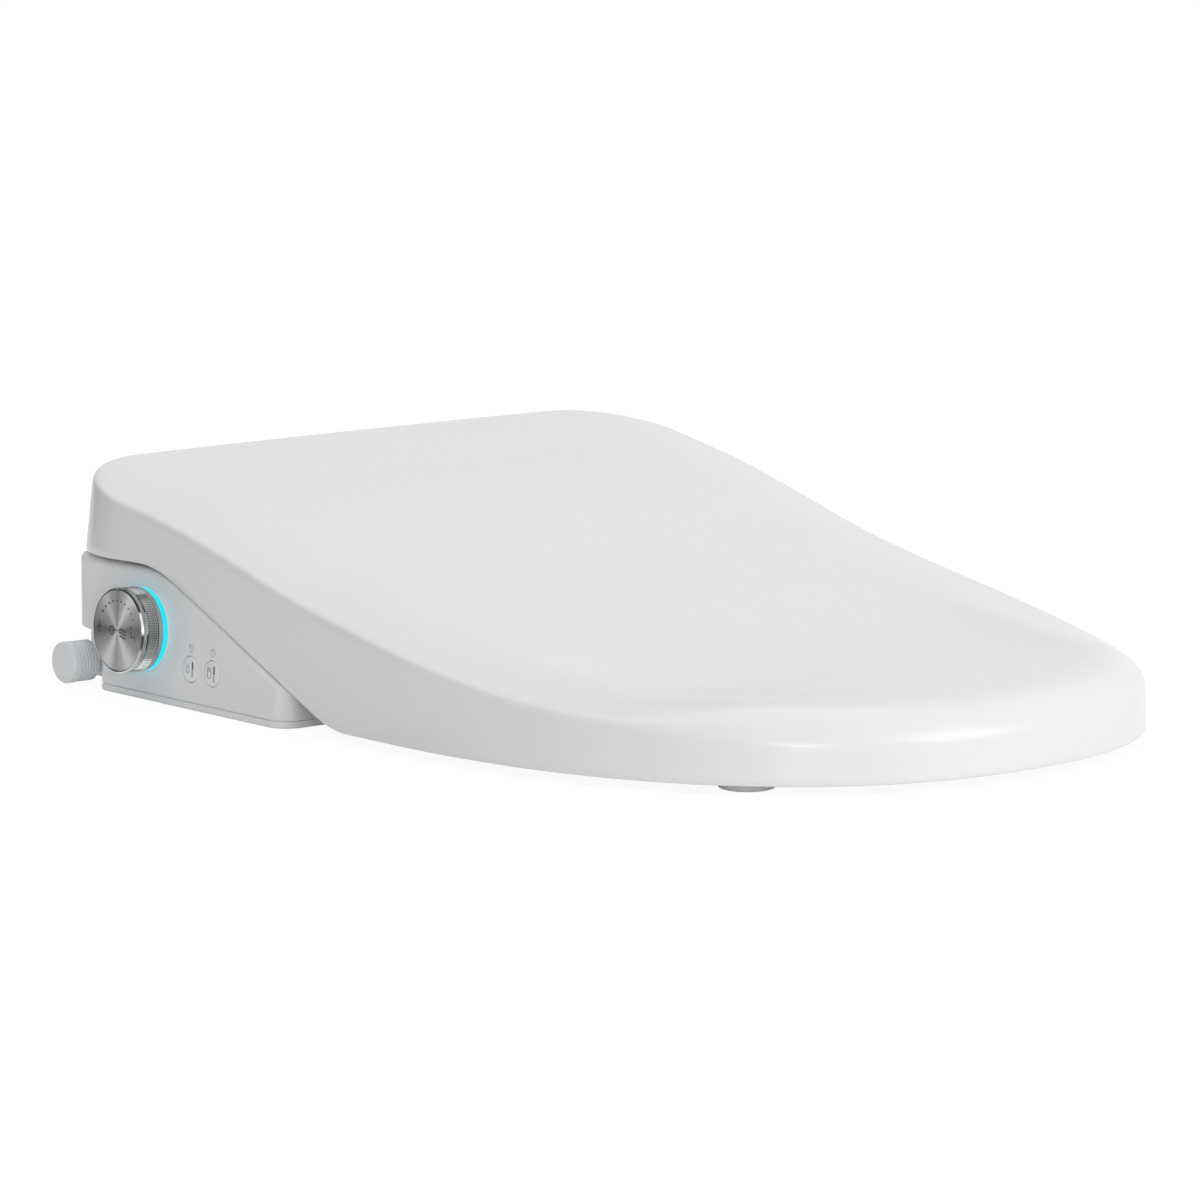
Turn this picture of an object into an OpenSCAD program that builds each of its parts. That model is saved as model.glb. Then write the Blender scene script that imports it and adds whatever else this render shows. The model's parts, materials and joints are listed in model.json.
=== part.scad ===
// Electric bidet seat for an elongated toilet bowl.
// Frame: +X is the right-hand side seen from in front, +Y points to the wall, +Z is up.
// The origin is midway between the bowl's two bolt holes, on the plane of the bowl's rim.

/* [Overall size] */
// Length of the lid from its rear edge to its nose
lid_length = 530; // [510:1:550]
// Width of the lid across its rear edge
lid_width = 390; // [384:1:396]
// How far each side of the lid draws in from its rear corner to the nose
side_taper = 5; // [2:0.5:8]
// Height of the lid's rear edge above the bowl's rim
lid_height = 112; // [110:0.5:118]
// Height of the top of the lid's side wall at the nose
nose_height = 25; // [23:0.5:28]
// Distance from the bowl's bolt line back to the lid's rear edge
bolts_to_rear = 60; // [58:0.5:64]

/* [Lid] */
// Wall thickness of the lid moulding
lid_wall = 3; // [2.4:0.1:3.2]
// Radius of the lid's rear corners seen from above
lid_corner_r = 60; // [58:1:64]
// Height of the lid's lower edge above the bowl's rim along the nose
lid_edge_z = 4.4; // [3.5:0.1:5.5]
// Height of the lid's lower edge where it rests over the housing
lid_rear_edge_z = 69; // [68.5:0.1:70]
// Where the lid's sloping lower edge starts to rise, measured back from the rear edge
slope_start = 238; // [236:1:240]
// Rise of the lid's sloping lower edge per millimetre
slope_rise = 0.453; // [0.445:0.001:0.46]
// Extra outward slope of the lid's wall at the rear corners
rear_flare = 0.067; // [0:0.001:0.08]

/* [Seat] */
// Clearance between the lid's inner wall and the seat's rim
seat_gap = 4; // [3:0.5:5]
// Length of the seat's opening
hole_length = 232; // [220:1:240]
// Width of the seat's opening
hole_width = 212; // [200:1:220]
// Height of the seat's underside above the bowl's rim
seat_floor_z = 8; // [7:0.5:9]
// Wall thickness of the seat's shells
seat_wall = 2.6; // [2:0.1:3]
// Diameter of a seat bumper
bumper_d = 28; // [24:1:30]

/* [Hinge] */
// Diameter of the hinge pins
hinge_pin_d = 8; // [7:0.5:9]
// Radial running clearance of a pin in a swinging part
pin_clearance = 0.05; // [0.03:0.01:0.08]
// Depth of the hinge axis below the lid's rear edge
hinge_depth = 28; // [27:0.1:28.5]
// Distance of the hinge axis behind the bolt line
hinge_y = 36; // [35:0.5:36.5]
// Diameter of a soft-close damper
damper_d = 18; // [16:0.5:18.5]

/* [Housing] */
// How far each side of the housing stands in from the lid's side
house_inset = 2.5; // [1.5:0.25:3.5]
// Wall thickness of the housing mouldings
house_wall = 3; // [2.4:0.1:3.4]
// Thickness of the base plate
base_t = 4.2; // [3.6:0.1:4.6]
// Inward lean of the housing's sides in degrees
side_lean = 3; // [2:0.5:3.5]
// Forward lean of the housing's rear in degrees
rear_lean = 4; // [0:0.5:4.5]
// Seam between the lid's edge and the housing
lid_seam = 1; // [0.8:0.1:1.6]

/* [Bracket] */
// Distance between the bowl's bolt holes
bolt_spacing = 140; // [136:1:150]
// Width of a bracket slot
slot_w = 8.5; // [7:0.5:9]
// End-to-end length of a bracket slot
slot_length = 36; // [30:1:40]
// Thickness of the mounting bracket
bracket_t = 5; // [4:0.5:6]

/* [Control knob] */
// Outer diameter of the knob
knob_d = 43; // [40:0.5:44]
// How far the knob stands out of the panel
knob_length = 17.3; // [16:0.1:18]
// Distance of the knob's axis in front of the bolt line
knob_front = 26.5; // [24:0.5:28]
// Height of the knob's axis above the bowl's rim
knob_z = 36; // [35:0.5:37]
// Width of the light ring behind the knob
light_w = 2; // [1.5:0.1:2.4]

/* [Buttons] */
// Diameter of a temperature button
button_d = 13; // [11:0.5:14]
// Travel of every small button
button_travel = 0.7; // [0.5:0.05:0.8]
// Gap around a button in its hole
button_gap = 0.3; // [0.25:0.01:0.4]
// Distance between the two temperature buttons
button_pitch = 18; // [17:0.5:20]
// Diameter of an indicator lens
lens_d = 4.3; // [3.6:0.1:5]

/* [Water inlet] */
// Outer diameter of the inlet's pipe thread
thread_d = 20.955; // [20:0.005:21.5]
// Bore of the inlet nipple
inlet_bore = 12; // [10:0.5:13]
// Height of the inlet's axis above the bowl's rim
inlet_z = 11.8; // [11.6:0.1:12.6]

/* [Wands] */
// Diameter of a spray wand
wand_d = 11; // [10:0.5:11.5]
// How far a wand slides out
wand_travel = 90; // [84:1:92]
// Downward slope of the wands in degrees
wand_slope = 20; // [18:0.5:21]

/* [Dryer] */
// Diameter of the fan wheel
fan_d = 58; // [50:1:60]
// Number of fan blades
fan_blades = 14; // [10:1:18]

/* [Hidden] */
$fn = 48;
e = 0.01;

// Size against the usual one, for pieces that keep their share of it
wide = lid_width / 390;
long = lid_length / 530;

// Driving places
nose_width = lid_width - 2 * side_taper;
hinge_z = lid_height - hinge_depth;
rear_y = bolts_to_rear;
nose_y = rear_y - lid_length;
lean = tan(side_lean);
lid_draft = 0.037;
hull_gap = 0.3;         // clearance between two bodies that don't touch

// Housing outline
house_w = lid_width / 2 - house_inset;
house_back = rear_y - 1.5;
house_front = -118;
wing_front = -143;
wing_in = house_w - 53.5;   // inner side of the two side wings
house_corner_r = 48;
wing_corner_r = 12;
ledge_z = 44;           // low shelf behind the hinge, under the swinging rear of the lid
ledge_y = 8;            // front edge of that shelf
core_w = lid_width / 3; // half width of the high middle body
front_z = 49;           // height of the middle body's front face
ledge_w = house_w - 14.5;
notch_x = house_w - 24.5;
notch_y = 9;
notch_z = 30;

// Hinge line, from the middle outwards
barrel_r = 14;
barrel_end = core_w + 1;
arm_in = barrel_end + 1.5;
arm_w = 17;
lug_in = arm_in + arm_w + 1.5;
lug_w = 10;
lug_r = 8.5;
pin_r = hinge_pin_d / 2;

// Stations along the lid as shares of its length, with the share of the fall still to come
edge_curve = [[0, 1], [0.12, 0.846], [0.2, 0.757], [0.3, 0.603], [0.4, 0.44], [0.55, 0.262], [0.7, 0.127],
  [0.85, 0.03], [1, 0]];
// Height of the lid's middle line above the top of its side wall at each station
crown_curve = [[0, 1], [0.15, 4], [0.4, 6], [0.6, 4.5], [0.75, 6.5], [0.88, 12.5], [1, 16]];
crown_w = 50;

/* Curve helpers */
function span(p, s, i = 0) = i >= len(p) - 2 || s <= p[i + 1][0] ? i : span(p, s, i + 1);
function rate(p, i) = let (a = max(i - 1, 0), b = min(i + 1, len(p) - 1))
  (p[b][1] - p[a][1]) / (p[b][0] - p[a][0]);
function curve(p, s) = let (i = span(p, s), h = p[i + 1][0] - p[i][0], t = (s - p[i][0]) / h)
  (2 * t ^ 3 - 3 * t ^ 2 + 1) * p[i][1] + (t ^ 3 - 2 * t ^ 2 + t) * rate(p, i) * h
  + (3 * t ^ 2 - 2 * t ^ 3) * p[i + 1][1] + (t ^ 3 - t ^ 2) * rate(p, i + 1) * h;
// A ramp that starts with a rounded knee of radius r
function knee(s, r) = s <= -r ? 0 : s >= r ? s : (s + r) ^ 2 / (4 * r);
function smooth(s) = let (t = min(max(s, 0), 1)) t * t * (3 - 2 * t);

function station(y) = min(max((rear_y - y) / lid_length, 0), 1);
function edge_z(y) = nose_height + (lid_height - nose_height) * curve(edge_curve, station(y));
function middle_z(y) = edge_z(y) + curve(crown_curve, station(y));
// Lower edge of the lid: level over the housing, sloping down its sides, level round the nose
slope_y = rear_y - slope_start;
function skirt_z(y) = lid_edge_z + knee(slope_rise * (y - slope_y), 6)
  - knee(slope_rise * (y - slope_y) - (lid_rear_edge_z - lid_edge_z), 6);
function lid_low_z(y) = skirt_z(y) + (hinge_z + 2 - lid_rear_edge_z) * smooth((y - hinge_y - 2) / 8);

/* Plan of the lid and seat: half outlines, inset by d, from the middle of the rear to the nose */
rear_n = 4;
corner_n = 7;
side_n = 20;
nose_n = 18;
nose_power = 2.29;
widest_y = rear_y - 277 * long;
function half_outline(back, nose, wr, wm, r, d, bow = 0) = let (
  rc = max(r - d, 12), w = wr - d, yc = back - bow - d, ys = yc - rc) [
  for (i = [0:rear_n - 1]) let (t = (i + 0.5) / rear_n) [(w - rc) * t, yc + bow * (1 - t ^ 2)],
  for (i = [0:corner_n]) [w - rc + rc * sin(90 * i / corner_n), ys + rc * cos(90 * i / corner_n)],
  for (i = [1:side_n]) let (t = i / side_n)
    [w + (wm - wr) * (1 - (1 - t) ^ 2), ys + (widest_y - ys) * t],
  for (i = [1:nose_n]) let (a = 90 * i / (nose_n + 0.5))
    [(wm - d) * cos(a) ^ (2 / nose_power), widest_y - (widest_y - nose - d) * sin(a) ^ (2 / nose_power)],
];
function mirrored(h) = concat(h, [for (i = [len(h) - 1:-1:0]) [-h[i][0], h[i][1]]]);
rear_bow = 1.5;         // how far the middle of the lid's rear edge bows back
function lid_outline(d) = mirrored(
  half_outline(rear_y, nose_y, lid_width / 2, nose_width / 2, lid_corner_r, d, rear_bow));

/* A closed skin through rings of equal length; the first and last rings are bridged across */
module skin(rings, capped = true) {
  n = len(rings[0]);
  m = len(rings);
  h = n / 2;
  side = [
    for (k = [0:(capped ? m - 2 : m - 1)], i = [0:n - 1]) let (j = (i + 1) % n, k1 = (k + 1) % m)
      each [[k * n + i, k1 * n + i, k * n + j], [k * n + j, k1 * n + i, k1 * n + j]],
  ];
  caps = capped ? [
    for (i = [0:h - 2]) each [
      [i, i + 1, n - 2 - i], [i, n - 2 - i, n - 1 - i],
      [(m - 1) * n + i, (m - 1) * n + n - 2 - i, (m - 1) * n + i + 1],
      [(m - 1) * n + i, (m - 1) * n + n - 1 - i, (m - 1) * n + n - 2 - i],
    ],
  ] : [];
  polyhedron(points = [for (r = rings) each r], faces = concat(side, caps), convexity = 6);
}

/* Placing helpers */
module box(a, b) translate(a) cube(b - a);
module bar_x(x0, x1, y, z, r)
  translate([min(x0, x1), y, z]) rotate([0, 90, 0]) cylinder(h = abs(x1 - x0), r = r);
module bar_y(x, y0, y1, z, r)
  translate([x, max(y0, y1), z]) rotate([90, 0, 0]) cylinder(h = abs(y1 - y0), r = r);
module post(x, y, z0, z1, r) translate([x, y, z0]) cylinder(h = z1 - z0, r = r);
// Extrudes a side view (Y, Z) across X
module side_view(points, w)
  rotate([90, 0, 90]) translate([0, 0, -w]) linear_extrude(2 * w) polygon(points);
// Puts a child on the left panel: its Z points out of the panel, its X up and its Y back
module on_panel(y, z)
  translate([-(house_w - lean * z), y, z]) rotate([0, side_lean - 90, 0]) children();
module on_knob(h = 0) on_panel(knob_y, knob_z) translate([0, 0, h]) children();
// Puts a child along a wand: its Z runs from the tip to the rear, its Y points down
wand_tip = [0, house_front + house_wall + 1, 15];
wand_gap = 20;          // distance between the two wands' axes
module along_wand(side)
  translate(wand_tip + [side * wand_gap / 2, 0, 0]) rotate([wand_slope - 90, 0, 0]) children();

/* ------------------------------------------------------------------ lid */
function mixed(a, b, t) = [for (i = [0:len(a) - 1]) a[i] + (b[i] - a[i]) * (is_list(t) ? t[i] : t)];
// How much the wall slopes outwards on its way down, beyond its draft, near the rear
function flare(y) = rear_flare * smooth((y + 60) / 80);
// Points of the lid's side wall at inset d from its outer face, at height z(i)
function drafted(d, z) = let (
  o0 = lid_outline(0), o9 = lid_outline(9),
  m = mixed(o0, o9, [for (i = [0:len(o0) - 1])
    (d + lid_draft * (z[i] - lid_edge_z) - flare(o0[i][1]) * (edge_z(o0[i][1]) - z[i])) / 9]))
  [for (i = [0:len(m) - 1]) [m[i][0], m[i][1], z[i]]];
function lid_surface(d, t = 0) = let (
  o0 = lid_outline(0), o = lid_outline(d), g = 1 - (1 - min(d / crown_w, 1)) ^ 2)
  [for (i = [0:len(o) - 1]) [o[i][0], o[i][1], edge_z(o0[i][1]) * (1 - g) + middle_z(o[i][1]) * g - t]];

module lid() color("white") {
  o0 = lid_outline(0);
  low = [for (p = o0) lid_low_z(p[1])];
  high = [for (p = o0) edge_z(p[1])];
  tight = 2;              // small round between the side wall and the top
  lean_in = lid_draft * (lid_height - lid_edge_z);
  insets = [165, 125, 85, 55, 36, 22, 12] * wide;
  skin(concat(
    [for (d = insets) lid_surface(d, lid_wall)],
    [drafted(lid_wall, [for (z = high) z - lid_wall - 1]), drafted(lid_wall, low), drafted(0, low),
     drafted(0, [for (z = high) z - tight]), drafted(tight * 0.6, [for (z = high) z - 0.3]),
     lid_surface(lean_in + tight + 1)],
    [for (i = [len(insets) - 1:-1:0]) lid_surface(insets[i])]
  ));
}

// Lugs screwed to the lid's underside, swinging on the hinge pins
module lid_hinge_lugs() color("white") {
  top = edge_z(hinge_y - lug_r) - lid_wall + 0.5;
  for (s = [-1, 1]) translate([s * (lug_in + lug_w / 2), 0, 0]) difference() {
    union() {
      box([-lug_w / 2, hinge_y - lug_r, hinge_z], [lug_w / 2, hinge_y + 2, top]);
      bar_x(-lug_w / 2, lug_w / 2, hinge_y, hinge_z, lug_r);
    }
    bar_x(-lug_w, lug_w, hinge_y, hinge_z, pin_r + pin_clearance);
  }
}

// Rubber pads that let the lid down softly on the seat
lid_bumper_y = nose_y + 56 * long;
lid_bumper_x = 55 * wide;
lid_bumper_r = 5;
module lid_bumpers() color("gainsboro") {
  low = seat_top_z(lid_bumper_y) + hull_gap;
  high = middle_z(lid_bumper_y) - lid_wall - 0.8;
  for (s = [-1, 1]) post(s * lid_bumper_x, lid_bumper_y, low, high, lid_bumper_r);
}

/* ------------------------------------------------------------------ seat */
seat_back = house_front - 3;
seat_rim = lid_wall + seat_gap;
seat_corner_r = 24;
seat_curve = [[0.34, 52], [0.42, 47], [0.55, 40], [0.7, 33.5], [0.85, 29], [1, 25]];
function seat_top_z(y) = curve(seat_curve, min(max(station(y), 0.34), 1));
// Underside of the seat: level, and lifted at the rear to clear the housing
function seat_low_z(y) = seat_floor_z + 22 * smooth((y + 205) / 50);
function seat_outer() = mirrored(half_outline(seat_back, nose_y + seat_rim, lid_width / 2 - seat_rim - 4,
  nose_width / 2 - seat_rim, seat_corner_r, 0));
hole_front = nose_y + 72;
hole_power = 2.2;
hole_middle = hole_front + hole_length * 0.56;
// The opening, with one point beside each point of the rim
function hole_point(p) = let (
  a = atan2(p[1] - hole_middle, p[0] * 1.25), c = cos(a), s = sin(a),
  f = s > 0 ? hole_length * 0.44 : hole_length * 0.56)
  [hole_width / 2 * sign(c) * abs(c) ^ (2 / hole_power),
   hole_middle + f * sign(s) * abs(s) ^ (2 / hole_power)];
function across(s) = let (a = seat_outer()) [for (p = a) let (h = hole_point(p)) p + (h - p) * s];
function inset_across(w) = let (a = seat_outer()) [for (p = a) let (h = hole_point(p), t = w / norm(h - p))
  p + (h - p) * (w >= 0 ? t : 1 + t)];
// A ring of the seat: w > 0 counts from the rim, w < 0 from the opening; f is the share of the height
function seat_ring(w, f, base = 5, t = 0) = let (o = inset_across(w))
  [for (p = o) let (b = seat_low_z(p[1]) + base) [p[0], p[1], b + (seat_top_z(p[1]) - b) * f - t]];
function seat_level(w, z) = let (o = inset_across(w))
  [for (p = o) [p[0], p[1], seat_low_z(p[1]) + z]];

split_z = 6;            // height of the seam between the seat's two shells above its underside
module seat_top() color("white") skin([
  seat_level(0, split_z), seat_ring(0, 0.5, split_z), seat_ring(2.5, 0.8, split_z),
  seat_ring(9, 0.96, split_z), seat_ring(22, 1, split_z), seat_ring(-24, 0.93, split_z),
  seat_ring(-10, 0.8, split_z), seat_ring(-3, 0.6, split_z),
  seat_ring(0 - e, 0.35, split_z), seat_level(0 - e, split_z),
  seat_level(-seat_wall, split_z), seat_ring(-seat_wall - 3, 0.6, split_z, seat_wall),
  seat_ring(-14, 0.8, split_z, seat_wall), seat_ring(-26, 0.93, split_z, seat_wall),
  seat_ring(22, 1, split_z, seat_wall), seat_ring(9, 0.96, split_z, seat_wall),
  seat_ring(seat_wall + 1.5, 0.7, split_z, seat_wall), seat_level(seat_wall, split_z),
], capped = false);

module seat_bottom() color("white") skin([
  seat_level(0, split_z - 0.2), seat_level(seat_wall, split_z - 0.2), seat_level(seat_wall, seat_wall),
  seat_level(-seat_wall, seat_wall), seat_level(-seat_wall, split_z - 0.2), seat_level(0 - e, split_z - 0.2),
  seat_level(0 - e, 1), seat_level(-2, 0), seat_level(2, 0), seat_level(0, 1),
], capped = false);

// Heating foil glued under the seat's top
module seat_heater() color("orange") {
  foil = 0.6;
  skin([for (q = [[22, foil], [-28, foil], [-28, 0], [22, 0]])
    seat_ring(q[0], q[0] > 0 ? 1 : 0.93, split_z, seat_wall + 0.2 + q[1])], capped = false);
}

arm_front = seat_back + 0.1;
arm_r = 12.5;
arm_view = concat(
  [[hinge_y, hinge_z + arm_r], [hinge_y, hinge_z - arm_r]],
  [for (y = [-24, -36, -50, -70, -95, arm_front]) [y, wing_z(y) + 3]],
  [[arm_front, seat_top_z(seat_back) - 2], [-85, hinge_z - 14], [-45, hinge_z - 2]]);
module seat_hinge_arm() difference() {
  union() {
    bar_x(-arm_w / 2, arm_w / 2, hinge_y, hinge_z, arm_r);
    side_view(arm_view, arm_w / 2);
  }
  bar_x(-arm_w, arm_w, hinge_y, hinge_z, pin_r + pin_clearance);
}
module seat_hinge_arms() color("white")
  for (s = [-1, 1]) translate([s * (arm_in + arm_w / 2), 0, 0]) seat_hinge_arm();

// Four rubber bumpers that carry the seat on the bowl's rim
bumper_places = [[115 * wide, nose_y + 70 * long], [150 * wide, nose_y + 205 * long]];
bumper_bevel = 1.2;
module seat_bumpers() color("lightgrey") for (s = [-1, 1], p = bumper_places) {
  r = bumper_d / 2;
  translate([s * p[0], p[1], 0]) cylinder(h = bumper_bevel, r1 = r - bumper_bevel, r2 = r, $fn = 48);
  post(s * p[0], p[1], bumper_bevel, seat_floor_z, r);
}

/* ------------------------------------------------------------------ housing */
// Plan of the housing, inset by i
lap = 5;
module plan(i) {
  w = house_w - i;
  r = house_corner_r - i;
  back = house_back - i;
  translate([-w, house_front + i]) square([2 * w, back - r - house_front - i]);
  translate([r - w, back - r - lap]) square([2 * (w - r), r + lap]);
  for (s = [-1, 1]) {
    translate([s * (w - r), back - r]) circle(r);
    wing_plan(i, s);
  }
}
module wing_plan(i, s) {
  w = house_w - i;
  r = wing_corner_r - i;
  x0 = wing_in + i;
  y0 = wing_front + i;
  y1 = house_front + i + lap;
  middle = (x0 + w - r) / 2;
  translate([s * middle - (w - r - x0) / 2, y0]) square([w - r - x0, y1 - y0]);
  translate([s * (x0 + w) / 2 - (w - x0) / 2, y0 + r]) square([w - x0, y1 - y0 - r]);
  translate([s * (w - r), y0 + r]) circle(r);
}

// Side view of the shoulders: level at the rear, then sloping just under the lid's edge
function wing_z(y) = skirt_z(y) - lid_seam * (1.1 + 1.1 * smooth((y + 75) / 45));
shoulder_z = wing_z(0);
function shoulder_view(i) = concat(
  [[house_back - i, 0], [house_back - i - tan(rear_lean) * 100, 100], [0, 100], [0, shoulder_z - i]],
  [for (y = [-12:-6:wing_front]) [y, wing_z(y) - i * 1.1]],
  [[wing_front + i, wing_z(wing_front) - i * 1.1], [wing_front + i, 0]]);
core_view = [[ledge_y, hinge_z + 8], [-20, hinge_z + 5], [house_front + 14, front_z + 8],
  [house_front + 4, front_z + 4.5], [house_front, front_z]];
function core_outline(i) = concat(
  [[ledge_y - i, 0]],
  [for (p = core_view) [p[0] == ledge_y ? p[0] - i : max(p[0], house_front + i), p[1] - i]],
  [[house_front + i, 0]]);

// The housing's outer form, inset by i
module housing_form(i, from_z) difference() {
  union() {
    intersection() {
      translate([0, 0, from_z]) linear_extrude(shoulder_z - i - from_z) plan(i);
      side_view(shoulder_view(i), house_w);
      lean_block(i);
    }
    intersection() {
      side_view(core_outline(i), core_w - i);
      box([-core_w, house_front, from_z], [core_w, ledge_y, 100]);
    }
  }
  cut_w = i > 0 ? house_w : ledge_w;
  box([-cut_w, ledge_y - i, ledge_z - i], [cut_w, rear_y, 100]);
}
module lean_block(i) {
  w = house_w - i;
  rotate([90, 0, 0]) translate([0, 0, -rear_y]) linear_extrude(rear_y - wing_front + 10)
    polygon([[-w, 0], [w, 0], [w - lean * 100, 100], [lean * 100 - w, 100]]);
}

// Recess at the rear left corner for the water inlet
module inlet_notch(grow = 0)
  box([-house_w - 10, notch_y - grow, -1], [-notch_x + grow, rear_y + 5, notch_z + grow]);

screw_x = house_w - 36.5;
screw_places = [[-screw_x, -30], [screw_x, -30], [12 - core_w, house_front + 12],
  [core_w - 12, house_front + 12], [30 - core_w, 46], [core_w + 5, 42]];
module upper_housing() color("whitesmoke") difference() {
  union() {
    difference() {
      housing_form(0, base_t);
      difference() {
        housing_form(house_wall, base_t - 1);
        inlet_notch(house_wall);
      }
    }
    hinge_barrel();
    intersection() {
      union() for (p = screw_places) post(p[0], p[1], base_t, 90, 4.5);
      housing_form(house_wall - 0.2, base_t);
    }
    for (p = board_posts) on_knob(board_top) post(p[0], p[1], 0, -board_top - house_wall + 0.3, 2.5);
  }
  inlet_notch();
  bar_x(-core_w - 5, core_w + 5, hinge_y, hinge_z, damper_d / 2 + 0.05);
  for (p = screw_places) post(p[0], p[1], 0, 24, screw_r + 0.05);
  on_knob(-10) cylinder(h = 20, r = sleeve_r + 0.4);
  on_knob(-light_depth) difference() {
    cylinder(h = 10, r = knob_d / 2 + 0.1);
    translate([0, 0, -1]) cylinder(h = 12, r = knob_d / 2 - light_w - 0.1);
  }
  for (k = [0, 1]) on_panel(button_y(k), button_z) {
    translate([0, 0, -10]) cylinder(h = 20, r = button_d / 2 + button_gap);
    translate([lens_rise, 0, -10]) cylinder(h = 20, r = lens_d / 2 + 0.05);
  }
  // openings in the front face for the wands and the dryer
  box([-wand_window, house_front - 1, base_t - 1], [wand_window, house_front + house_wall + 1, 27]);
  box([duct_x0, house_front - 1, duct_z0], [duct_x1, house_front + house_wall + 1, duct_z1]);
  bar_y(sensor_x, house_front - 1, house_front + house_wall + 1, sensor_z, sensor_r + 0.05);
  // openings at the rear and at the right side
  bar_y(gland_x, house_back - 6, house_back + 6, gland_z, gland_r + 0.05);
  bar_x(house_w - 12, house_w + 5, release_y, release_z, release_r + button_gap);
  bar_x(-notch_x - 5, -notch_x + 8, inlet_y, inlet_z, inlet_neck_r + 0.05);
}
// Barrel that carries the hinge pins' dampers, joined to the middle body
module hinge_barrel() difference() {
  union() {
    bar_x(-barrel_end, barrel_end, hinge_y, hinge_z, barrel_r);
    box([-core_w, ledge_y - 2, hinge_z - 12], [core_w, hinge_y, hinge_z + 8]);
  }
  box([-core_w + house_wall, 0, hinge_z - 12 + house_wall],
    [core_w - house_wall, hinge_y - 12, hinge_z + 8 - house_wall]);
}

screw_r = 1.75;
module housing_screws() color("silver") for (p = screw_places) {
  post(p[0], p[1], 0.8, 3, 3.6);
  post(p[0], p[1], 3 - e, 20, screw_r);
}

pan_x = 108;            // half width of the recess over the bracket
pan_y = 25;
pan_z = 14;
deck_z = pan_z + 2;     // top of the deck over the recess
pad_x = house_w - 32.5;
base_pad_places = [[-pad_x, -100], [pad_x, -100], [pad_x - 10, 10], [10 - pad_x, -10]];
module base_plate() color("white") difference() {
  union() {
    difference() {
      linear_extrude(base_t - 0.6) plan(0);
      difference() {
        translate([0, 0, -e]) linear_extrude(0.8) plan(-2);
        translate([0, 0, -1]) linear_extrude(4) plan(1);
      }
    }
    linear_extrude(base_t) plan(1);   // leaves a fine shadow line under the cover
    box([-pan_x - 2, -pan_y - 2, 1], [pan_x + 2, pan_y + 2, deck_z]);
    for (x = [board_lo[0] + 6, board_hi[0] - 6], y = [board_lo[1] + 5, board_hi[1] - 5])
      post(x, y, 1, board_lo[2], 3);
  }
  box([-pan_x, -pan_y, -1], [pan_x, pan_y, pan_z]);
  inlet_notch();
  for (p = screw_places) {
    post(p[0], p[1], -1, 3, 4);
    post(p[0], p[1], -1, 10, screw_r + 0.1);
  }
  for (p = base_pad_places) post(p[0], p[1], -1, 1.5, 9.1);
  box([pan_x - 1, release_y - latch_w / 2 - 0.5, latch_z0 - 0.4],
    [pan_x + 10, release_y + latch_w / 2 + 0.5, latch_z1 + 0.4]);
}
module base_pads() color("dimgrey") for (p = base_pad_places) post(p[0], p[1], 0, 1.5, 9);

/* Hinge pins and dampers */
damper_len = 38;
module hinge_pins() color("silver") for (s = [-1, 1])
  bar_x(s * barrel_end, s * (lug_in + lug_w - 1), hinge_y, hinge_z, pin_r);
module damper(s) {
  bar_x(s * (barrel_end - damper_len), s * (barrel_end - 0.02), hinge_y, hinge_z, damper_d / 2);
  bar_x(s * (barrel_end - damper_len - 5), s * (barrel_end - damper_len), hinge_y, hinge_z, damper_d / 2 - 3);
}
module lid_damper() color("dimgrey") damper(-1);
module seat_damper() color("dimgrey") damper(1);

/* Mounting bracket, clamped to the bowl by its two bolts */
bracket_x = pan_x - 1.5;
bracket_y = pan_y - 1.5;
latch_w = 14;
module mounting_bracket() color("silver") difference() {
  union() {
    box([-bracket_x, -bracket_y, 0], [bracket_x, bracket_y, bracket_t]);
    for (y = [-bracket_y, bracket_y - 3])
      box([-bracket_x, y, bracket_t - e], [bracket_x, y + 3, bracket_t + 3]);
    box([bracket_x - 4, -16, bracket_t - e], [bracket_x, 16, latch_z0 - 0.4]);
  }
  slot_half = (slot_length - slot_w) / 2;
  for (s = [-1, 1]) translate([s * bolt_spacing / 2, 0, 0]) {
    for (k = [-1, 1]) post(k * slot_half, 0, -1, bracket_t + 1, slot_w / 2);
    box([-slot_half, -slot_w / 2, -1], [slot_half, slot_w / 2, bracket_t + 1]);
  }
}

/* Quick-release button on the right-hand side, with its latch */
release_y = 0;
release_z = 22;
release_r = 8;
latch_z0 = 8.6;
latch_z1 = 11.6;
module release_button() color("gainsboro") {
  bar_x(house_w - 9, house_w + 0.6, release_y, release_z, release_r);
  bar_x(house_w - 14, house_w - 9, release_y, release_z, release_r - 3);
}
module release_latch() color("white") {
  y0 = release_y - latch_w / 2;
  y1 = release_y + latch_w / 2;
  box([bracket_x - 8, y0, latch_z0], [house_w - 14, y1, latch_z1]);
  box([bracket_x - 8, y0, bracket_t + 0.4], [bracket_x - 4.3, y1, latch_z0 + e]);
  box([house_w - 20, y0, latch_z1 - e], [house_w - 14, y1, release_z + 5]);
}

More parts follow.
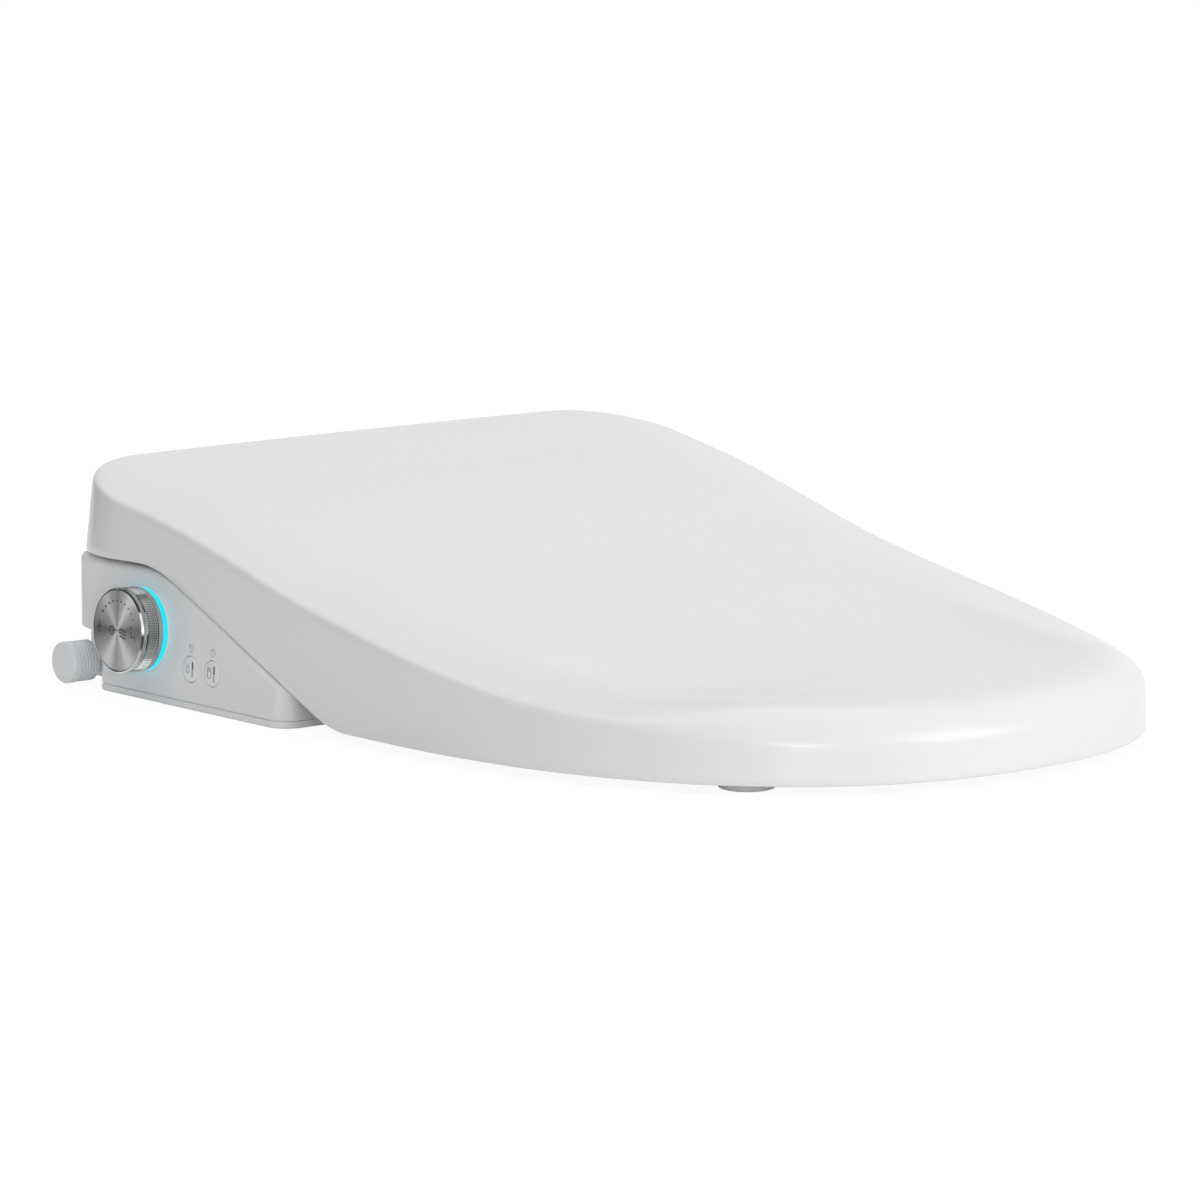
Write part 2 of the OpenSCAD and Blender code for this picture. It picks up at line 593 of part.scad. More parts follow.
/* ------------------------------------------------------------------ knob */
knob_y = -knob_front;
sleeve_r = 9;
post_r = 6.9;
light_depth = 1.5;
knob_foot = 3;          // gap between the panel and the knob's skirt
knob_grooves = 72;
knob_lip = 0.7;         // width of the bright lip round the face
face_r = knob_d / 2 - knob_lip - 0.3;
lip_view = [[face_r - 2, 0], [knob_d / 2 - 0.5, 0], [knob_d / 2, 0.5], [knob_d / 2, 2.6],
  [knob_d / 2 - 0.4, 3.2], [face_r + 0.2, 3.2], [face_r - 2, 1]];
module knob_ring() color("silver") on_knob() difference() {
  union() {
    translate([0, 0, knob_foot]) linear_extrude(knob_length - knob_foot - 3.5) polygon([
      for (i = [0:2 * knob_grooves - 1]) let (a = 180 * i / knob_grooves, r = knob_d / 2 - (i % 2) * 0.35)
        [r * cos(a), r * sin(a)]]);
    translate([0, 0, knob_length - 3.5 - e]) rotate_extrude() polygon(lip_view);
    translate([0, 0, -11.8]) cylinder(h = knob_foot + 14.4, r = sleeve_r);
  }
  translate([0, 0, -20]) cylinder(h = 50, r = post_r + 0.1);
  translate([0, 0, 7]) cylinder(h = 30, r = face_r - 1.5);
  translate([0, 0, knob_length - 2.5]) cylinder(h = 4, r = face_r + 0.3);
  translate([0, 0, knob_foot - 1]) difference() {
    cylinder(h = 3.2, r = knob_d / 2 - light_w);
    translate([0, 0, -1]) cylinder(h = 6, r = sleeve_r);
  }
}
// Fixed post inside the knob that carries the face; it gives a little when the face is pressed
module knob_post() color("dimgrey") {
  on_knob(-12.6) cylinder(h = knob_length + 9, r = post_r);
  on_knob(knob_length - 4.5) cylinder(h = 3, r = face_r - 2);
}
module knob_face() color("silver") on_knob(knob_length - 1.5) {
  cylinder(h = 1.1, r = face_r);
  cylinder(h = 1.5, r = face_r - 0.4);
}
module light_ring() color("cyan") on_knob(-light_depth) difference() {
  cylinder(h = light_depth + knob_foot - 0.4, r = knob_d / 2);
  translate([0, 0, -1]) cylinder(h = light_depth + knob_foot + 2, r = knob_d / 2 - light_w);
}
encoder_w = 26;
module ring_encoder() color("darkslategrey") on_knob() difference() {
  translate([-encoder_w / 2, -encoder_w / 2, -12.3]) cube([encoder_w, encoder_w, 12.3 - house_wall]);
  translate([0, 0, -20]) cylinder(h = 30, r = sleeve_r + 0.1);
}
board_top = -15.7;
board_t = 1.6;
board_posts = [[-22, 19], [12, 19], [-22, -71], [-12, -71]];
board_outline = [[-27, -76], [-27, 24], [16, 24], [12, -34], [-7, -76]];
module control_board() color("darkgreen")
  on_knob(board_top - board_t) linear_extrude(board_t) polygon(board_outline);
// Push switches on the board: one behind the face's post and one behind each button
module tact_switches() color("black") {
  on_knob() tact(13.5);
  for (k = [0, 1]) on_panel(button_y(k), button_z) tact(12);
}
module tact(top) translate([-3, -3, board_top]) cube([6, 6, -board_top - top - button_travel]);

/* Temperature buttons and their indicator lenses */
button_z = 20.5;
function button_y(k) = -66 - button_pitch * k;
lens_rise = 10.4;
module temp_button(k) on_panel(button_y(k), button_z) {
  translate([0, 0, -5.5]) cylinder(h = 5.7, r = button_d / 2);
  translate([0, 0, -11.3]) cylinder(h = 6, r = 2);
}
module water_temp_button() color("whitesmoke") temp_button(0);
module seat_temp_button() color("whitesmoke") temp_button(1);
module indicator_lenses() color("white") for (k = [0, 1]) on_panel(button_y(k), button_z)
  translate([lens_rise, 0, -house_wall - 2]) cylinder(h = house_wall + 2.1, r = lens_d / 2);

/* ------------------------------------------------------------------ water side */
inlet_y = 33;
inlet_neck_r = 7.5;
thread_pitch = 1.8;
thread_turns = 6;
thread_crest = 0.6;     // share of the pitch that a crest takes
thread_depth = 1.1;
thread_end = -notch_x - 15.5;
thread_tip = thread_end - thread_pitch * thread_turns;
module inlet_nipple() color("white") difference() {
  union() {
    bar_x(-notch_x + 8, thread_end, inlet_y, inlet_z, inlet_neck_r);
    for (k = [0:thread_turns - 1]) {
      x0 = thread_end - k * thread_pitch;
      x1 = x0 - thread_crest * thread_pitch;
      bar_x(x0, x1, inlet_y, inlet_z, thread_d / 2);
      bar_x(x1 + e, x0 - thread_pitch, inlet_y, inlet_z, thread_d / 2 - thread_depth);
    }
    bar_x(-notch_x + house_wall, -notch_x + house_wall + 3, inlet_y, inlet_z + 1.2, 8.6);
  }
  bar_x(-notch_x + 10, thread_tip - 1, inlet_y, inlet_z, inlet_bore / 2);
}
// Push-in cap that keeps the inlet clean until the hose is fitted
module inlet_plug() color("white") {
  bar_x(thread_tip - 0.2, thread_tip - 4, inlet_y, inlet_z, thread_d / 2 + 0.2);
  translate([thread_tip - 4, inlet_y, inlet_z]) rotate([0, -90, 0])
    cylinder(h = 1, r1 = thread_d / 2 + 0.2, r2 = thread_d / 2 - 0.8, $fn = 48);
  bar_x(thread_tip + 8, thread_tip - 0.5, inlet_y, inlet_z, inlet_bore / 2 - 0.1);
}
module inlet_filter() color("silver") difference() {
  bar_x(thread_end + 2, thread_end + 12, inlet_y, inlet_z, inlet_bore / 2 - 0.02);
  bar_x(thread_end + 1, thread_end + 11, inlet_y, inlet_z, inlet_bore / 2 - 1);
}
valve_lo = [18 - notch_x, 16, base_t + hull_gap];
valve_hi = valve_lo + [34, 25, 22.5];
coil_h = 13;
module inlet_valve() color("white") box(valve_lo, valve_hi);
module valve_coil() color("black") {
  middle = (valve_lo + valve_hi) / 2;
  post(middle[0], middle[1], valve_hi[2], valve_hi[2] + coil_h, 9);
}
module inlet_hose() color("grey") difference() {
  bar_x(-notch_x + 8, valve_lo[0], inlet_y, inlet_z, 7);
  bar_x(-notch_x + 7, valve_lo[0] + 1, inlet_y, inlet_z, 4.5);
}

tank_lo = [6 - core_w, -78, deck_z + hull_gap];
tank_hi = [tank_lo[0] + 66, 2, 56];
tank_wall = 2.5;
module heater_tank() color("ivory") difference() {
  box(tank_lo, tank_hi);
  box(tank_lo + [1, 1, 1] * tank_wall, tank_hi + [-tank_wall, -tank_wall, 1]);
}
module tank_cover() color("ivory") box([tank_lo[0], tank_lo[1], tank_hi[2]], tank_hi + [0, 0, 3]);
module heating_element() color("silver") {
  y0 = tank_lo[1] + 23;
  y1 = tank_hi[1] - 27;
  for (y = [y0, y1]) bar_x(tank_lo[0] + 12, tank_hi[0] - tank_wall, y, 32, 4);
  bar_y(tank_lo[0] + 12, y0, y1, 32, 4);
}
module tank_hose() color("grey") bar_y(tank_lo[0] + 2, tank_hi[1], valve_lo[1], 22, 4);
diverter_y = -5;
diverter_r = 11;
diverter_z = deck_z + diverter_r + hull_gap;
module diverter_valve() color("white") bar_x(-38, 8, diverter_y, diverter_z, diverter_r - 1);
module diverter_motor() color("silver") bar_x(8, 24, diverter_y, diverter_z, diverter_r);

/* Wands in their guide; each slides over a fixed feed tube */
feed_r = 2.4;
wand_r = wand_d / 2;
guide_z0 = 18;
wand_length = wand_travel + 26;
rack_pitch = PI;
rack_x = wand_r + 5;     // distance of the rack's pitch line from the wand's axis
pinion_teeth = 12;
pinion_r = pinion_teeth * rack_pitch / (2 * PI);
pinion_at = 18;
tooth_h = 0.8;
motor_len = 10;
motor_r = 7.5;
// Puts a child on a pinion's axis, y along it
module at_pinion(s, y) along_wand(s)
  translate([s * (rack_x + pinion_r + 0.1), y, pinion_at]) rotate([-90, 0, 0]) children();
module nozzle_guide() color("gainsboro") difference() {
  union() {
    along_wand(0) {
      translate([-wand_gap / 2 - wand_r - 2, -wand_r - 2, guide_z0])
        cube([wand_gap + wand_d + 4, wand_d + 4, wand_length - guide_z0 + 4]);
      translate([-wand_gap / 2 - 22, -wand_r - 3.5, pinion_at - 5]) cube([wand_gap + 44, 1.5, 24]);
    }
    box([-22, -88, base_t], [22, -84, 16]);
    box([-22, -34, base_t], [22, -31, 34]);
  }
  for (s = [-1, 1]) along_wand(s) {
    translate([0, 0, -20]) cylinder(h = wand_length + 20.4, r = wand_r + 0.1);
    translate([s > 0 ? 0 : -rack_x - 3, -1.8, 0]) cube([rack_x + 3, 3.6, wand_length + 1]);
    translate([0, 0, wand_length]) cylinder(h = 10, r = feed_r + 0.02);
  }
  for (s = [-1, 1]) at_pinion(s, -20) cylinder(h = 30, r = 1.6);
}
module feed_tubes() color("silver") for (s = [-1, 1]) along_wand(s) difference() {
  translate([0, 0, 14]) cylinder(h = wand_length - 4, r = feed_r);
  translate([0, 0, 13]) cylinder(h = wand_length, r = feed_r - 0.8);
}
module wand(s) along_wand(s) difference() {
  union() {
    translate([0, 0, 1]) cylinder(h = wand_length - 1, r = wand_r);
    translate([0, 0, 0]) cylinder(h = 1 + e, r1 = wand_r - 1, r2 = wand_r, $fn = 32);
    translate([s > 0 ? 0 : 2 - rack_x, -1.4, 5]) cube([rack_x - 2, 2.8, wand_length - 6]);
    for (k = [0:floor((wand_length - 1 - pinion_at) / rack_pitch)])
      translate([s * (rack_x - 2), -1.4, pinion_at + rack_pitch * (k - 0.5)]) rotate([-90, 0, 0])
        linear_extrude(2.8)
          polygon([[0, -0.8], [s * (2 + tooth_h), -0.3], [s * (2 + tooth_h), 0.3], [0, 0.8]]);
  }
  translate([0, 0, 10]) cylinder(h = wand_length, r = feed_r + 0.1);
  for (k = [0:2]) translate([0, 0, 6 + 3 * k]) rotate([90, 0, 0]) cylinder(h = wand_r + 1, r = 0.6);
}
module wash_wand() color("white") wand(-1);
module bidet_wand() color("white") wand(1);
// Pinion in mesh with its wand's rack: a tooth of the pinion stands in a gap of the rack
tooth_view = [[pinion_r - 1.6, -0.8], [pinion_r + tooth_h, -0.3], [pinion_r + tooth_h, 0.3],
  [pinion_r - 1.6, 0.8]];
module pinion(s) at_pinion(s, -1.5) {
  cylinder(h = 3, r = pinion_r - 1.2);
  for (k = [0:pinion_teeth - 1]) rotate([0, 0, 360 * k / pinion_teeth + (s > 0 ? 180 : 0)])
    linear_extrude(3) polygon(tooth_view);
  translate([0, 0, -8]) cylinder(h = 9, r = 1.5);
}
module wash_pinion() color("orange") pinion(-1);
module bidet_pinion() color("orange") pinion(1);
module wand_motors() color("silver")
  for (s = [-1, 1]) at_pinion(s, -wand_r - 3.5 - motor_len) difference() {
    cylinder(h = motor_len, r = motor_r);
    translate([0, 0, motor_len - 2]) cylinder(h = 3, r = 1.6);
  }
wand_window = 24;
// Hood over the wands' tips
module splash_hood() color("white") difference() {
  box([-wand_window - 3, house_front - 2.4, 24.4], [wand_window + 3, house_front - 0.1, 29]);
  box([-wand_window, house_front - 2, 20], [wand_window, house_front, 27]);
}

/* ------------------------------------------------------------------ dryer */
fan_x = core_w - 40;
fan_y = -34;
fan_z0 = deck_z + hull_gap;
fan_z1 = fan_z0 + 26;
fan_case_r = fan_d / 2 + 5;
duct_x0 = fan_x - fan_case_r;
duct_x1 = duct_x0 + 26;
duct_z0 = 18;
duct_z1 = 40;
duct_wall = 1.8;
duct_join = fan_y - 34;
module duct_box(y0, y1, i) box([duct_x0 + i, y0, duct_z0 + i], [duct_x1 - i, y1, duct_z1 - i]);
module fan_housing() color("gainsboro") difference() {
  union() {
    post(fan_x, fan_y, fan_z0, fan_z1, fan_case_r);
    duct_box(duct_join, fan_y, 0);
  }
  post(fan_x, fan_y, fan_z0 + duct_wall, fan_z1 - duct_wall, fan_case_r - duct_wall);
  duct_box(duct_join - 1, fan_y, duct_wall);
  for (k = [0:5]) post(fan_x + 19 * cos(60 * k), fan_y + 19 * sin(60 * k), fan_z1 - 5, fan_z1 + 5, 5);
  post(fan_x, fan_y, fan_z1 - 5, fan_z1 + 5, 2.2);
}
module fan_wheel() color("dimgrey") {
  r = fan_d / 2;
  translate([fan_x, fan_y, fan_z0 + 3]) {
    cylinder(h = 2, r = r);
    for (k = [0:fan_blades - 1]) rotate([0, 0, 360 * k / fan_blades])
      translate([r - 10, -0.6, 2 - e]) cube([9, 1.2, 15]);
    cylinder(h = 16, r = 6);
    cylinder(h = 24, r = 2);
  }
}
module fan_motor() color("black") difference() {
  post(fan_x, fan_y, fan_z1, fan_z1 + 16, 12);
  post(fan_x, fan_y, fan_z1 - 1, fan_z1 + 3, 2.2);
}
module dryer_duct() color("gainsboro") difference() {
  duct_box(house_front + house_wall + 0.1, duct_join - 0.1, 0);
  duct_box(house_front, duct_join + 1, duct_wall);
}
heater_plates = 5;
module air_heater() color("orange") for (k = [0:heater_plates - 1]) {
  y = house_front + 18 + 5 * k;
  low = [duct_x0 + duct_wall, y, duct_z0 + duct_wall + 4];
  box(low, [duct_x1 - duct_wall, y + 1.5, duct_z1 - duct_wall - 4]);
}
grille_slots = 4;
module dryer_grille() color("white") difference() {
  duct_box(house_front - 0.8, house_front + house_wall, 0.15);
  for (k = [0:grille_slots - 1]) {
    z = duct_z0 + 3 + 4.4 * k;
    box([duct_x0 + 3, house_front - 2, z], [duct_x1 - 3, house_front + house_wall + 1, z + 2.4]);
  }
}

/* ------------------------------------------------------------------ power */
board_lo = [-55, 28.5, 18];
board_hi = [core_w - 18, 53, board_lo[2] + board_t];
module main_board() color("darkgreen") box(board_lo, board_hi);
module power_module() color("black")
  box([board_hi[0] - 52, board_lo[1] + 2.5, board_hi[2]],
      [board_hi[0] - 8, board_hi[1] - 2, board_hi[2] + 18]);
gland_x = core_w + 10;
gland_z = 20;
gland_r = 7;
module cord_gland() color("grey") difference() {
  union() {
    bar_y(gland_x, house_back - 8, house_back + 2.5, gland_z, gland_r);
    bar_y(gland_x, house_back, house_back + 2.5, gland_z, gland_r + 2);
  }
  bar_y(gland_x, house_back - 9, house_back + 4, gland_z, 3.6);
}
sensor_x = core_w - 25;
sensor_z = 30;
sensor_r = 5;
module presence_sensor() color("black") {
  bar_y(sensor_x, house_front - 0.3, house_front + house_wall + 6, sensor_z, sensor_r);
}

lid();
lid_hinge_lugs();
lid_bumpers();
seat_top();
seat_bottom();
seat_heater();
seat_hinge_arms();
seat_bumpers();
upper_housing();
base_plate();
base_pads();
housing_screws();
hinge_pins();
lid_damper();
seat_damper();
mounting_bracket();
release_button();
release_latch();
knob_ring();
knob_face();
knob_post();
light_ring();
ring_encoder();
control_board();
tact_switches();
water_temp_button();
seat_temp_button();
indicator_lenses();
inlet_nipple();
inlet_plug();
inlet_filter();
inlet_valve();
valve_coil();
inlet_hose();
heater_tank();
tank_cover();
heating_element();
tank_hose();
diverter_valve();
diverter_motor();
feed_tubes();
nozzle_guide();
wash_wand();
bidet_wand();
wash_pinion();
bidet_pinion();
wand_motors();
splash_hood();
fan_housing();
fan_wheel();
fan_motor();
dryer_duct();
air_heater();
dryer_grille();
main_board();
power_module();
cord_gland();
presence_sensor();
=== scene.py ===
"""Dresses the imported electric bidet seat: modelled skins, finishes, light and camera.

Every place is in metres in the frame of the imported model: +X is the right-hand side seen from
in front, +Y points to the wall and +Z is up, with z = 0 on the bowl's rim. Sizes named in
millimetres end in _mm or are fields of a form class and are turned to metres by MM.
"""

from __future__ import annotations

import json
import logging
import math
from dataclasses import dataclass
from enum import Enum
from typing import Any, Callable, Sequence

import bmesh
import bpy
from mathutils import Matrix, Vector

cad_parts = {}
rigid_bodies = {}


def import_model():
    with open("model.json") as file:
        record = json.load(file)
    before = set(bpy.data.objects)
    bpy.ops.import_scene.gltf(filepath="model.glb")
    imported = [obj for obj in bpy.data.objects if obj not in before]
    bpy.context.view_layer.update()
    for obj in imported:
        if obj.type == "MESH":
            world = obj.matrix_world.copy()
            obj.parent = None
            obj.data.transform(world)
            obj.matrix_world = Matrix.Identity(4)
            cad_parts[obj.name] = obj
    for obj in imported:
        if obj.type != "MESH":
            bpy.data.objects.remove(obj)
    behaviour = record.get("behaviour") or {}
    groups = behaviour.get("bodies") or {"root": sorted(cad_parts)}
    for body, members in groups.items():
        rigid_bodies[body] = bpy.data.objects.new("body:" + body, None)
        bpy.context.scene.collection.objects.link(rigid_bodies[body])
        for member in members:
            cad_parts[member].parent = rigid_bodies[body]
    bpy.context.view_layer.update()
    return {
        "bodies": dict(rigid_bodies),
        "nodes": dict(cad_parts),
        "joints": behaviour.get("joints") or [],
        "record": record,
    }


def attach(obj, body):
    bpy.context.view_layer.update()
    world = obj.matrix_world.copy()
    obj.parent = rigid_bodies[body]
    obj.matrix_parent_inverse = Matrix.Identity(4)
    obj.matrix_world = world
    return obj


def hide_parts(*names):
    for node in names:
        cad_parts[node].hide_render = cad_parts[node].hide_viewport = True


MM = 0.001
LOG = logging.getLogger("bidet_seat")
Object = bpy.types.Object
Plan = tuple[float, float]


class Body(Enum):
    """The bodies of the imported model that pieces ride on."""

    UNIT = "unit"
    SEAT = "seat"
    LID = "lid"
    KNOB_RING = "knob_ring"
    KNOB_FACE = "knob_face"
    WATER_BUTTON = "water_button"
    SEAT_BUTTON = "seat_button"
    RELEASE = "release"
    INLET_PLUG = "inlet_plug"


# ---------------------------------------------------------------- numbers


def smooth(t: float) -> float:
    """Smooth step from 0 to 1, held outside that range."""
    t = min(max(t, 0.0), 1.0)
    return t * t * (3 - 2 * t)


def curve(points: Sequence[Plan], at: float) -> float:
    """Reads a smooth curve through a few points.

    Args:
        points: Pairs of place and value, in order of place.
        at: The place to read.

    Returns:
        The value there, with the ends held.
    """
    last = len(points) - 1
    at = min(max(at, points[0][0]), points[last][0])
    i = 0
    while i < last - 1 and at > points[i + 1][0]:
        i += 1

    def rate(k: int) -> float:
        a, b = max(k - 1, 0), min(k + 1, last)
        return (points[b][1] - points[a][1]) / (points[b][0] - points[a][0])

    span = points[i + 1][0] - points[i][0]
    t = (at - points[i][0]) / span
    return (
        (2 * t**3 - 3 * t**2 + 1) * points[i][1]
        + (t**3 - 2 * t**2 + t) * rate(i) * span
        + (3 * t**2 - 2 * t**3) * points[i + 1][1]
        + (t**3 - t**2) * rate(i + 1) * span
    )


def knee(rise: float, radius: float) -> float:
    """A ramp that starts with a rounded knee of that radius."""
    if rise <= -radius:
        return 0.0
    return rise if rise >= radius else (rise + radius) ** 2 / (4 * radius)


# ---------------------------------------------------------------- materials


def srgb(code: str, alpha: float = 1.0) -> tuple[float, float, float, float]:
    """Turns a colour written as six hex digits to linear values."""

    def linear(v: float) -> float:
        return v / 12.92 if v <= 0.04045 else ((v + 0.055) / 1.055) ** 2.4

    r, g, b = (linear(int(code[i : i + 2], 16) / 255) for i in (0, 2, 4))
    return (r, g, b, alpha)


def add_node(
    tree: bpy.types.NodeTree, kind: str, links: dict[str, Any] | None = None, **settings: Any
) -> Any:
    """Adds a shader node.

    Args:
        tree: The node tree.
        kind: The node's type.
        links: What goes into its inputs: an output socket to link, or a value to set.
        settings: The node's own properties.

    Returns:
        The new node.
    """
    node = tree.nodes.new(kind)
    for key, value in settings.items():
        setattr(node, key, value)
    for key, value in (links or {}).items():
        socket = node.inputs[int(key)] if key.isdigit() else node.inputs[key]
        if isinstance(value, bpy.types.NodeSocket):
            tree.links.new(value, socket)
        else:
            socket.default_value = value
    return node


@dataclass(frozen=True)
class Finish:
    """What every finish has: a name, a colour and how it takes the light."""

    name: str
    colour: str
    roughness: float = 0.3
    metallic: float = 0.0
    ior: float = 1.5

    def make(self) -> bpy.types.Material:
        """Builds the material, or returns it if it is there already."""
        known = bpy.data.materials.get(self.name)
        if known:
            return known
        material = bpy.data.materials.new(self.name)
        material.use_nodes = True
        tree = material.node_tree
        shader = tree.nodes["Principled BSDF"]
        shader.inputs["Base Color"].default_value = srgb(self.colour)
        shader.inputs["Roughness"].default_value = self.roughness
        shader.inputs["Metallic"].default_value = self.metallic
        if not self.metallic:
            shader.inputs["IOR"].default_value = self.ior
        self.detail(tree, shader)
        return material

    def detail(self, tree: bpy.types.NodeTree, shader: Any) -> None:
        """Adds the finish's own pattern; a plain finish has none."""


@dataclass(frozen=True)
class Moulded(Finish):
    """Injection-moulded plastic: faint cloudiness in the gloss and a fine orange peel."""

    peel_mm: float = 1.6
    peel_depth_mm: float = 0.002
    cloud_mm: float = 40.0
    shade: float = 0.012

    def detail(self, tree: bpy.types.NodeTree, shader: Any) -> None:
        """Adds cloudy gloss, a faint shade and the peel."""
        place = add_node(tree, "ShaderNodeTexCoord").outputs["Object"]
        cloud = add_node(
            tree, "ShaderNodeTexNoise",
            {"Vector": place, "Scale": 1 / (self.cloud_mm * MM), "Detail": 3.0}
        )
        gloss = add_node(
            tree, "ShaderNodeMapRange",
            {"Value": cloud.outputs["Fac"], "To Min": self.roughness * 0.9, "To Max": self.roughness * 1.1},
        )
        tree.links.new(gloss.outputs["Result"], shader.inputs["Roughness"])
        bright = add_node(
            tree, "ShaderNodeMapRange", {
                "Value": cloud.outputs["Fac"], "To Min": 1 - self.shade, "To Max": 1 + self.shade
            }
        )
        tint = add_node(
            tree, "ShaderNodeHueSaturation", {"Value": bright.outputs["Result"], "Color": srgb(self.colour)}
        )
        tree.links.new(tint.outputs["Color"], shader.inputs["Base Color"])
        peel = add_node(
            tree, "ShaderNodeTexNoise", {"Vector": place, "Scale": 1 / (self.peel_mm * MM), "Detail": 1.0}
        )
        bump = add_node(
            tree, "ShaderNodeBump",
            {"Height": peel.outputs["Fac"], "Strength": 0.25, "Distance": self.peel_depth_mm * MM},
        )
        tree.links.new(bump.outputs["Normal"], shader.inputs["Normal"])


@dataclass(frozen=True)
class Matt(Finish):
    """Rubber, fibre or matt plastic: a fine grain in colour and surface."""

    grain_mm: float = 0.5
    grain_depth_mm: float = 0.03
    contrast: float = 0.06

    def detail(self, tree: bpy.types.NodeTree, shader: Any) -> None:
        """Adds the grain."""
        place = add_node(tree, "ShaderNodeTexCoord").outputs["Object"]
        grain = add_node(
            tree, "ShaderNodeTexNoise",
            {"Vector": place, "Scale": 1 / (self.grain_mm * MM), "Detail": 4.0}
        )
        bright = add_node(
            tree, "ShaderNodeMapRange",
            {"Value": grain.outputs["Fac"], "To Min": 1 - self.contrast, "To Max": 1 + self.contrast},
        )
        tint = add_node(
            tree, "ShaderNodeHueSaturation", {"Value": bright.outputs["Result"], "Color": srgb(self.colour)}
        )
        tree.links.new(tint.outputs["Color"], shader.inputs["Base Color"])
        bump = add_node(
            tree, "ShaderNodeBump",
            {"Height": grain.outputs["Fac"], "Strength": 0.4, "Distance": self.grain_depth_mm * MM},
        )
        tree.links.new(bump.outputs["Normal"], shader.inputs["Normal"])


@dataclass(frozen=True)
class Metal(Finish):
    """Bare metal with fine drawing lines along one axis."""

    line_mm: float = 0.35
    stretch: tuple[float, float, float] = (0.05, 1.0, 1.0)
    metallic: float = 1.0

    def detail(self, tree: bpy.types.NodeTree, shader: Any) -> None:
        """Adds the lines to the roughness and the surface."""
        place = add_node(tree, "ShaderNodeTexCoord").outputs["Object"]
        drawn = add_node(tree, "ShaderNodeMapping", {"Vector": place, "Scale": self.stretch})
        line = add_node(
            tree, "ShaderNodeTexNoise",
            {"Vector": drawn.outputs["Vector"], "Scale": 1 / (self.line_mm * MM), "Detail": 3.0},
        )
        rough = add_node(
            tree, "ShaderNodeMapRange",
            {"Value": line.outputs["Fac"], "To Min": self.roughness * 0.75, "To Max": self.roughness * 1.3},
        )
        tree.links.new(rough.outputs["Result"], shader.inputs["Roughness"])
        bump = add_node(
            tree, "ShaderNodeBump", {"Height": line.outputs["Fac"], "Strength": 0.15, "Distance": 0.02 * MM}
        )
        tree.links.new(bump.outputs["Normal"], shader.inputs["Normal"])


